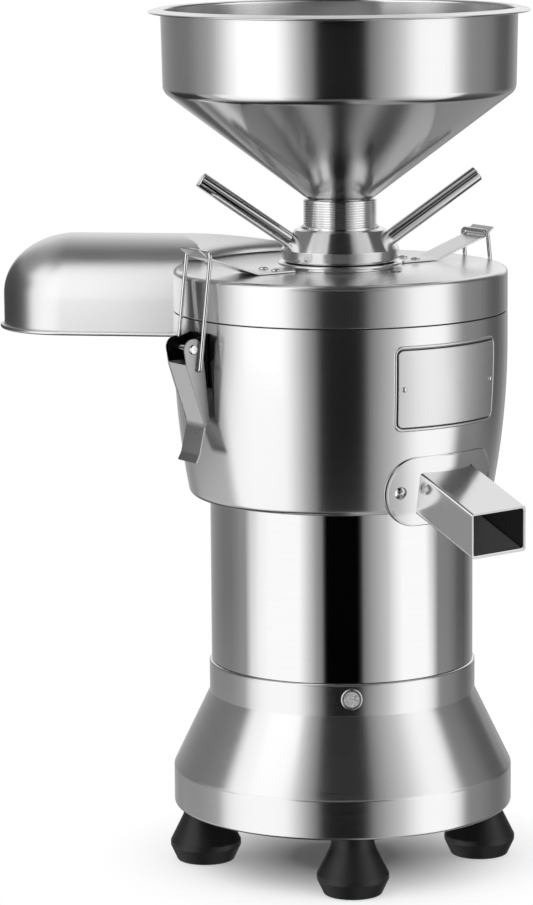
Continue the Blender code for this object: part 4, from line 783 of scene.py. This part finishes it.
foot = {"distance": 0.1145, "angle": 12.0, "segments": 72, "profile": [  # sole, widest part, waist, neck
    (0, 0), (0.0235, 0, 0.0016), (0.0293, 0.0125, 0.0030), (0.0293, 0.0165, 0.0030),
    (0.0180, 0.0394, 0.0200), (0.0168, 0.0492, 0.0006), (0, 0.0492)]}
footGrid = turned(filletLine(foot["profile"], 8), foot["segments"], False)
for footIndex in range(4):
    footAt = radialPoint(foot["angle"] + 90 * footIndex, foot["distance"], 0)
    newPiece(f"foot{footIndex + 1}", [place(footGrid, footAt)], "black_rubber", f"foot_{footIndex + 1}")
print("tube, base and feet made")

button = {"angle": -78.0, "level": 0.1585, "distance": 0.1101, "segments": 64,
          "bezel": [(0.0070, -0.02), (0.0078, -0.02), (0.0078, 0.0001), (0.0086, 0.0001, 0.0001),
                    (0.0086, 0.0014, 0.0009), (0.0070, 0.0014, 0.0004)],
          "cap": [(0, -0.0078), (0.0064, -0.0078), (0.0064, 0.0022, 0.0007), (0.0042, 0.0022, 0.0003),
                  (0, 0.0017)]}
gland = {"angle": 100.0, "level": 0.0657, "distance": 0.1403, "segments": 48, "hexRadius": 0.0100,
         "hexEdge": 0.0008,
         "nut": [(-0.0058, 0.0), (0.0, 0.0), (0.0, 0.0050), (-0.0008, 0.0056), (-0.0058, 0.0056), (-0.0058, 0.0)],
         "nose": [(0.0042, -0.008), (0.0080, -0.008), (0.0080, 0.0070, 0.0006), (0.0070, 0.0135, 0.0020),
                  (0.0042, 0.0140)]}


def wallSeat(s):
    # a place on the base: its point, and the directions round the shaft, up and outwards
    return radialPoint(s["angle"], s["distance"], s["level"]), radialAxes(s["angle"])[[1, 2, 0]]


bezelLoop, capLine = filletLine(button["bezel"], 5, True), filletLine(button["cap"], 5)
newPiece("buttonBezel", [place(turned(bezelLoop, button["segments"]), *wallSeat(button))], "bright_steel",
         "button_housing")
newPiece("pushButton", [place(turned(capLine, button["segments"], False), *wallSeat(button))], "button_cap",
         "push_button", body="button")
hexagon = filletLine([(gland["hexRadius"] * np.cos(t), gland["hexRadius"] * np.sin(t), gland["hexEdge"])
                      for t in np.arange(6) * np.pi / 3], 3, True)
glandGrids = framedLoop(hexagon, gland["nut"]), turned(filletLine(gland["nose"], 5, True), gland["segments"])
newPiece("cableGland", [place(g, *wallSeat(gland)) for g in glandGrids], "black_plastic", "cable_gland")
print("button and gland made")

latch = {
    "pivot": 0.1515, "pivotLevel": 0.4405, "halfWidth": 0.0142, "sheet": 0.0012, "ear": 0.0085,
    "flange": [(-0.0105, -0.016, 0.004), (-0.0145, -0.0575, 0.002), (-0.0118, -0.0640, 0.001),
               (-0.0095, -0.0615, 0.001), (0.0062, -0.014, 0.003)],
    "face": [(0.0056, -0.0120), (-0.0112, -0.0620, 0.0120), (-0.0055, -0.0860, 0.0120), (-0.0022, -0.0920)],
    "faceSheet": 0.0014, "bracketHalf": 0.0126, "bracketSheet": 0.0018, "lobe": 0.0072, "lobeFoot": 0.0112,
    "bracketLow": -0.0328, "bailInset": 0.0040, "bailDrop": 0.0170, "bailHalf": 0.0175,
    "bailTopRadius": 0.1365, "bailTop": 0.5167, "bailFoot": 0.0026, "bailBend": 0.0045, "wire": 0.0017,
    "pin": 0.0024, "pinHead": 0.0040, "pinTip": 0.0032, "pinHeadHeight": 0.0011, "catchHalf": 0.0145,
    "catchSheet": 0.0015, "catch": [(0.0540, 0.49625), (0.0890, 0.49625, 0.0100), (0.1369, 0.51245, 0.0016),
                                    (0.1452, 0.5192)],
    "rivetRadius": 0.0040, "rivetHeight": 0.0022, "rivetDistance": 0.0690, "rivetLevel": 0.49735,
    "rivetSpread": 0.0090, "darkHalf": 0.0132, "darkLevel": 0.4291, "lipLevel": 0.3765, "flangeShadeTone": 0.46,
    "angles": {"left": 222.5, "right": 42.5},
}


def darkenInside(look, s, angle):
    # painted shade: the colour turns nearly black between the lever's side flanges, above the upper end of its
    # face:
    # |distance across the radial plane| < darkHalf and z > darkLevel; the flanges themselves, which end at
    # the lip level, get a darker grey, also painted shade
    point, turn = objectPoint(look), np.radians(angle)
    across = vectorNode(look, "DOT_PRODUCT", point, (-np.sin(turn), np.cos(turn), 0))["Value"]
    between = mathNode(look, "LESS_THAN", mathNode(look, "ABSOLUTE", across), s["darkHalf"])
    height = axisOf(look, point, "Z")
    bright = mathNode(look, "MAXIMUM", between, mathNode(look, "LESS_THAN", height, s["lipLevel"]))
    shader = look.node_tree.nodes["Principled BSDF"]
    grey = mixTone(look, bright, s["flangeShadeTone"], shader.inputs["Base Color"].links[0].from_socket)
    inside = mathNode(look, "MULTIPLY", between, mathNode(look, "GREATER_THAN", height, s["darkLevel"]))
    linkTo(look, mixTone(look, inside, grey, (*blackTone, 1)), shader, "Base Color")


def platesAt(outline, halfWidth, thickness):
    # two flat plates in radial planes: their outline is (outward, up), their thickness lies across
    middles = [side * (halfWidth - thickness / 2) for side in (-1, 1)]
    return [slab(outline, m - thickness / 2, m + thickness / 2, 0.0004, 3)[..., [0, 2, 1]] for m in middles]


def arcPoints(radius, start, end, count):
    return [(radius * np.cos(t), radius * np.sin(t)) for t in np.radians(np.linspace(start, end, count))]


def leverGrids(s):
    # two pear shaped side flanges, and a face sheet bent along its middle line between them
    pear = filletLine(arcPoints(s["ear"], -15, 185, 21) + s["flange"], 5, True)
    face = stripAlong(filletLine(s["face"], 10), s["halfWidth"] - 0.0002, s["faceSheet"], 0.0006)
    return platesAt(pear, s["halfWidth"], s["sheet"]) + [face]


def bracketGrids(s):
    # a back plate on the drum and two ears round the pin
    back, high = drum["radius"] + 0.0003 - s["pivot"] + s["bracketSheet"] / 2, s["lobeFoot"]
    lobe = filletLine([(back, -high)] + arcPoints(s["lobe"], -90, 90, 13) + [(back, high)], 3, True)
    plateLine = np.array([(back, s["bracketLow"]), (back, high)])
    return platesAt(lobe, s["bracketHalf"], s["bracketSheet"]) + [
        stripAlong(plateLine, s["bracketHalf"], s["bracketSheet"], 0.0005)]


def bailGrid(s):
    # the wire's path (across, up the lean) with turned in ends, carried up a plane that leans to the drum
    end, half = s["halfWidth"] - s["sheet"] - 0.0012, s["bailHalf"]
    eye = np.array([s["pivot"] - s["bailInset"], s["pivotLevel"] - s["bailDrop"]])
    top = np.array([s["bailTopRadius"], s["bailTop"]])
    rise = np.linalg.norm(top - eye)
    lean = (top - eye) / rise
    path = filletLine([(-end, 0), (-half, 0, s["bailFoot"]), (-half, rise, s["bailBend"]),
                       (half, rise, s["bailBend"]), (half, 0, s["bailFoot"]), (end, 0)], 8)
    axes = np.array([[0, 1, 0], [lean[0], 0, lean[1]], [-lean[1], 0, lean[0]]])
    return place(wireAlong(path, s["wire"]), (eye[0], 0, eye[1]), axes)


def pinProfile(s):
    # a pin with a low head at either end
    end, high = s["halfWidth"] + 0.0003, s["pinHeadHeight"]
    half = [(s["pin"], end), (s["pinHead"], end), (s["pinHead"], end + 0.0002, 0.0002),
            (s["pinTip"], end + high, 0.0004), (0, end + high)]
    return filletLine([(corner[0], -corner[1], *corner[2:]) for corner in half[::-1]] + half, 3)


# painted shade inside both levers
darkenInside(leverSteel, latch, latch["angles"]["right"])
catchGrid = stripAlong(filletLine(latch["catch"], 8), latch["catchHalf"], latch["catchSheet"], 0.0005)
catchRivet = turned(domeLine(latch["rivetRadius"], latch["rivetHeight"]), 32, False)
for side, label in (("left", "Left"), ("right", "Right")):
    latchAngle = latch["angles"][side]
    axes = radialAxes(latchAngle)
    pivotAt = radialPoint(latchAngle, latch["pivot"], latch["pivotLevel"])
    # the bracket gets the near black look: painted shade
    newPiece("latchBracket" + label, [place(g, pivotAt, axes) for g in bracketGrids(latch)],
             "latch_steel", "latch_bracket_" + side, look=bracketShade)
    newPiece("latchPin" + label, [place(turned(pinProfile(latch), 32, False), pivotAt, axes[[2, 0, 1]])],
             "bright_steel", "latch_pin_" + side)
    newPiece("latchLever" + label, [place(g, pivotAt, axes) for g in leverGrids(latch)],
             "latch_steel", "latch_lever_" + side, body="lever_" + side, look=leverSteel)
    newPiece("latchBail" + label, [place(bailGrid(latch), shaft, axes)], "bright_steel",
             "latch_bail_" + side, body="bail_" + side)
    newPiece("catchStrip" + label, [place(catchGrid, shaft, axes)], "latch_steel", "catch_strip_" + side)
    for mark, across in (("A", -latch["rivetSpread"]), ("B", latch["rivetSpread"])):
        rivetAt = radialPoint(latchAngle, latch["rivetDistance"], latch["rivetLevel"], across)
        newPiece("catchRivet" + label + mark, [place(catchRivet, rivetAt, axes)], "bright_steel",
                 f"catch_rivet_{side}_{mark.lower()}")
for piece in pieces:  # wide faces keep their own normal, so that only the small fillets bend the light
    piece.modifiers.new("normals", "WEIGHTED_NORMAL").keep_sharp = True
print("latches made, pieces:", len(pieces))

studio = {"cameraTurn": 8.0, "cameraDistance": 3.11, "cameraHeight": 0.851, "focalPixels": 3830.0,
          "pictureHeight": 905.0, "yaw": 1.13, "pitch": 9.3, "roll": -0.45, "floorRadius": 3.0,
          "floorLevel": -0.0004, "floorTone": 0.92, "floorFade": (0.04, 0.21),
          # lamp: azimuth from the front, elevation, distance, size, power
          "lamps": {"keyLamp": (-35.0, 55.0, 2.6, 2.0, 22.0), "fillLamp": (50.0, 45.0, 2.8, 2.0, 12.0)},
          # card: lower corner, the way across, height, strength
          "cards": {"hoodCard": ((-0.62, -0.42, 0.34), (0.425, 0, 0), 2.40, 1.3),
                    "hoodEndCard": ((-0.42, -0.04, 0.36), (0, 0.34, 0), 0.20, 0.04)}}


def glow(look, strength):
    return addNode(look, "ShaderNodeEmission", {"Color": (1, 1, 1, 1), "Strength": strength}).outputs[0]


def floorLook(s):
    # white diffuse near the object, so that its shadow shows, and plain white light further out
    look = emptyLook("paleFloor")
    diffuse = addNode(look, "ShaderNodeBsdfDiffuse", {"Color": (*[s["floorTone"]] * 3, 1)}).outputs[0]
    distance = vectorNode(look, "LENGTH", objectPoint(look))["Value"]
    fade = rangeNode(look, distance, *s["floorFade"], 0.0, 1.0)
    mix = addNode(look, "ShaderNodeMixShader", {0: fade, 1: diffuse, 2: glow(look, 1.0)})
    addNode(look, "ShaderNodeOutputMaterial", {"Surface": mix.outputs[0]})
    return look


floorLine = np.array([(radius, studio["floorLevel"]) for radius in (0, 1.0, studio["floorRadius"])])
floor = gridObject("floor", [turned(floorLine, 96, False)])
floor.data.materials.append(floorLook(studio))
floor.visible_glossy = False

# What the metal mirrors, by the shares of a direction to the camera's right, to its front and up: ramps of
# (share, brightness), bands (low, high, softness of the flanks, strength) and the tones they bring in
room = {
    "front": [  # a dark card between two white boxes
        (-1.0, 0.40), (-0.985, 0.75), (-0.957, 1.10), (-0.90, 1.2), (-0.60, 1.2), (-0.48, 0.75), (-0.37, 0.38),
        (-0.29, 0.24), (-0.25, 0.03), (-0.22, 0.0005), (0.24, 0.0005), (0.28, 0.03), (0.33, 0.22), (0.42, 0.36),
        (0.53, 0.52), (0.63, 0.66), (0.73, 1.0), (0.80, 1.2), (0.965, 1.2), (0.99, 0.5), (1.0, 0.28)],
    "frontBands": [(0.31, 0.38, 0.06, 0.40), (-0.76, -0.64, 0.06, 0.20)], "bandTone": 1.0,
    "shadeUp": (0.04, 0.27, 0.05), "shadeRight": (-0.45, 0.45, 0.15), "shadeTone": 0.01,
    "back": [  # a grey room
        (-1.0, 0.40), (-0.985, 0.34), (-0.95, 0.25), (-0.90, 0.20), (-0.78, 0.20), (-0.60, 0.25), (-0.30, 0.38),
        (-0.12, 0.60), (0.0, 0.66), (0.12, 0.30), (0.30, 0.40), (0.50, 0.22), (0.68, 0.10), (0.82, 0.12),
        (0.93, 0.24), (1.0, 0.28)],
    "high": [(-1.0, 0.9), (0.05, 0.9), (0.18, 0.9), (0.34, 0.92), (0.50, 0.88), (0.62, 0.60), (0.80, 0.42),
             (1.0, 0.30)],
    "highBand": (0.16, 0.45, 0.06), "highTone": 0.95, "highUp": (0.06, 1.0, 0.06),
    "highRight": (-0.28, 0.40, 0.22),
    "low": [(-1.0, 0.02), (-0.90, 0.02), (-0.75, 0.05), (-0.40, 0.13), (-0.22, 0.40), (1.0, 0.4)],
    "lowBand": (0.12, 0.40, 0.08), "lowTone": 0.40, "sideBand": (-1.0, -0.62, 0.10), "sideTone": 0.55,
    "backLow": (-0.35, -0.20), "frontEdge": (-0.06, 0.06), "floorEdge": (-0.86, -0.66),
    "overhead": (0.80, 0.95), "overheadTone": 0.08, "roomLight": 0.85,
}


def addRamp(look, value, stops):
    # stops of brightness over the range -1 to 1
    ramp = addNode(look, "ShaderNodeValToRGB", {"Fac": rangeNode(look, value, -1.0, 1.0, 0.0, 1.0)})
    elements = ramp.color_ramp.elements
    elements[0].position, elements[1].position = 0.0, 1.0
    for position, _ in stops[1:-1]:
        elements.new((position + 1) / 2)
    for element, (_, level) in zip(elements, stops):
        element.color = (level, level, level, 1.0)
    return ramp.outputs["Color"]


def bandOf(look, value, low, high, soft, strength=1.0):
    # 0 outside, the strength from low to high, with flanks of the width soft
    rise = rangeNode(look, value, low - soft, low, 0.0, strength)
    return mathNode(look, "MULTIPLY", rise, rangeNode(look, value, high, high + soft, 1.0, 0.0))


def roomWorld(s, cameraTurn):
    # the metal mirrors the room; other things are lit by an even white, and the camera sees plain white
    world = bpy.data.worlds.new("studio")
    world.use_nodes = True
    world.node_tree.nodes.clear()
    turn = np.radians(cameraTurn)
    direction = addNode(world, "ShaderNodeTexCoord").outputs["Generated"]
    right = vectorNode(world, "DOT_PRODUCT", direction, (np.cos(turn), np.sin(turn), 0))["Value"]
    front = vectorNode(world, "DOT_PRODUCT", direction, (np.sin(turn), -np.cos(turn), 0))["Value"]
    up = axisOf(world, direction, "Z")

    def both(first, second):
        return mathNode(world, "MULTIPLY", bandOf(world, up, *first), bandOf(world, right, *second))

    frontLight = addRamp(world, right, s["front"])
    for band in s["frontBands"]:
        frontLight = mixTone(world, bandOf(world, up, *band), frontLight, s["bandTone"])
    frontLight = mixTone(world, both(s["shadeUp"], s["shadeRight"]), frontLight, s["shadeTone"])
    highLight = mixTone(world, bandOf(world, right, *s["highBand"]), addRamp(world, up, s["high"]), s["highTone"])
    lowLight = mixTone(world, bandOf(world, right, *s["lowBand"]), addRamp(world, up, s["low"]), s["lowTone"])
    lowSide = mixTone(world, bandOf(world, right, *s["sideBand"]), lowLight, s["sideTone"])
    backLight = mixTone(world, both(s["highUp"], s["highRight"]), addRamp(world, right, s["back"]), highLight)
    backLight = mixTone(world, rangeNode(world, up, *s["backLow"], 1.0, 0.0), backLight, lowSide)
    light = mixTone(world, rangeNode(world, front, *s["frontEdge"], 0.0, 1.0), backLight, frontLight)
    light = mixTone(world, rangeNode(world, up, *s["floorEdge"], 1.0, 0.0), light, lowLight)
    light = mixTone(world, rangeNode(world, up, *s["overhead"], 0.0, 1.0), light, s["overheadTone"])
    mirrored, plain, white = [
        addNode(world, "ShaderNodeBackground", {"Color": colour, "Strength": strength}).outputs[0]
        for colour, strength in ((light, 1.0), ((1, 1, 1, 1), s["roomLight"]), ((1, 1, 1, 1), 1.0))]
    rays = addNode(world, "ShaderNodeLightPath").outputs
    lit = addNode(world, "ShaderNodeMixShader", {0: rays["Is Glossy Ray"], 1: plain, 2: mirrored}).outputs[0]
    seen = mathNode(world, "MAXIMUM", rays["Is Camera Ray"], rays["Is Transmission Ray"])
    whole = addNode(world, "ShaderNodeMixShader", {0: seen, 1: lit, 2: white}).outputs[0]
    addNode(world, "ShaderNodeOutputWorld", {"Surface": whole})
    return world


def reflectorCard(name, corner, across, height, strength):
    # an upright card that only mirror rays see: corner + s * across + t * height upwards, s and t 0 or 1
    edge = np.array([corner, np.add(corner, across)])
    card = gridObject(name, [np.array([edge, edge + [0, 0, height]]) + shaft])
    look = emptyLook(name)
    addNode(look, "ShaderNodeOutputMaterial", {"Surface": glow(look, strength)})
    card.data.materials.append(look)
    card.visible_camera = card.visible_diffuse = card.visible_shadow = False


def setUp(name, data, axes, at):
    # right, up and back of a lamp or camera are the columns of its matrix
    thing = bpy.data.objects.new(name, data)
    thing.matrix_world = Matrix([[*(axis[k] for axis in axes), at[k]] for k in range(3)] + [[0, 0, 0, 1]])
    bpy.context.scene.collection.objects.link(thing)
    return thing


def softLamp(name, azimuth, elevation, distance, size, power):
    # a disk that looks at the point 0.3 above the shaft's foot
    lamp = bpy.data.lights.new(name, "AREA")
    lamp.shape, lamp.size, lamp.energy = "DISK", size, power
    a, e = np.radians(azimuth), np.radians(elevation)
    back = np.array([np.sin(a) * np.cos(e), -np.cos(a) * np.cos(e), np.sin(e)])
    side = unit(np.cross([0.0, 0.0, 1.0], back))
    axes = side, np.cross(back, side), back
    setUp(name, lamp, axes, shaft + back * distance + [0, 0, 0.3]).visible_glossy = False


def photoCamera(s):
    # a camera that is turned, tipped and rolled a little
    camera = bpy.data.cameras.new("camera")
    camera.sensor_fit, camera.sensor_height = "VERTICAL", 36.0
    camera.lens = 36.0 * s["focalPixels"] / s["pictureHeight"]
    camera.clip_start, camera.clip_end = 0.1, 60.0
    turn, tip, roll = [np.radians(s[name]) for name in ("cameraTurn", "pitch", "roll")]
    a, far = -turn - np.radians(s["yaw"]), s["cameraDistance"]
    ahead = np.array([np.sin(a) * np.cos(tip), np.cos(a) * np.cos(tip), -np.sin(tip)])
    level = np.array([np.cos(a), -np.sin(a), 0.0])
    above = np.cross(level, ahead)
    right = np.cos(roll) * level + np.sin(roll) * above
    up = -np.sin(roll) * level + np.cos(roll) * above
    at = shaft + [far * np.sin(turn), -far * np.cos(turn), s["cameraHeight"]]
    bpy.context.scene.camera = setUp("camera", camera, (right, up, -ahead), at)


for cardName, values in studio["cards"].items():
    reflectorCard(cardName, *values)
bpy.context.scene.world = roomWorld(room, studio["cameraTurn"])
for lampName, values in studio["lamps"].items():
    softLamp(lampName, *values)
photoCamera(studio)
bpy.context.scene.view_settings.view_transform = "Standard"
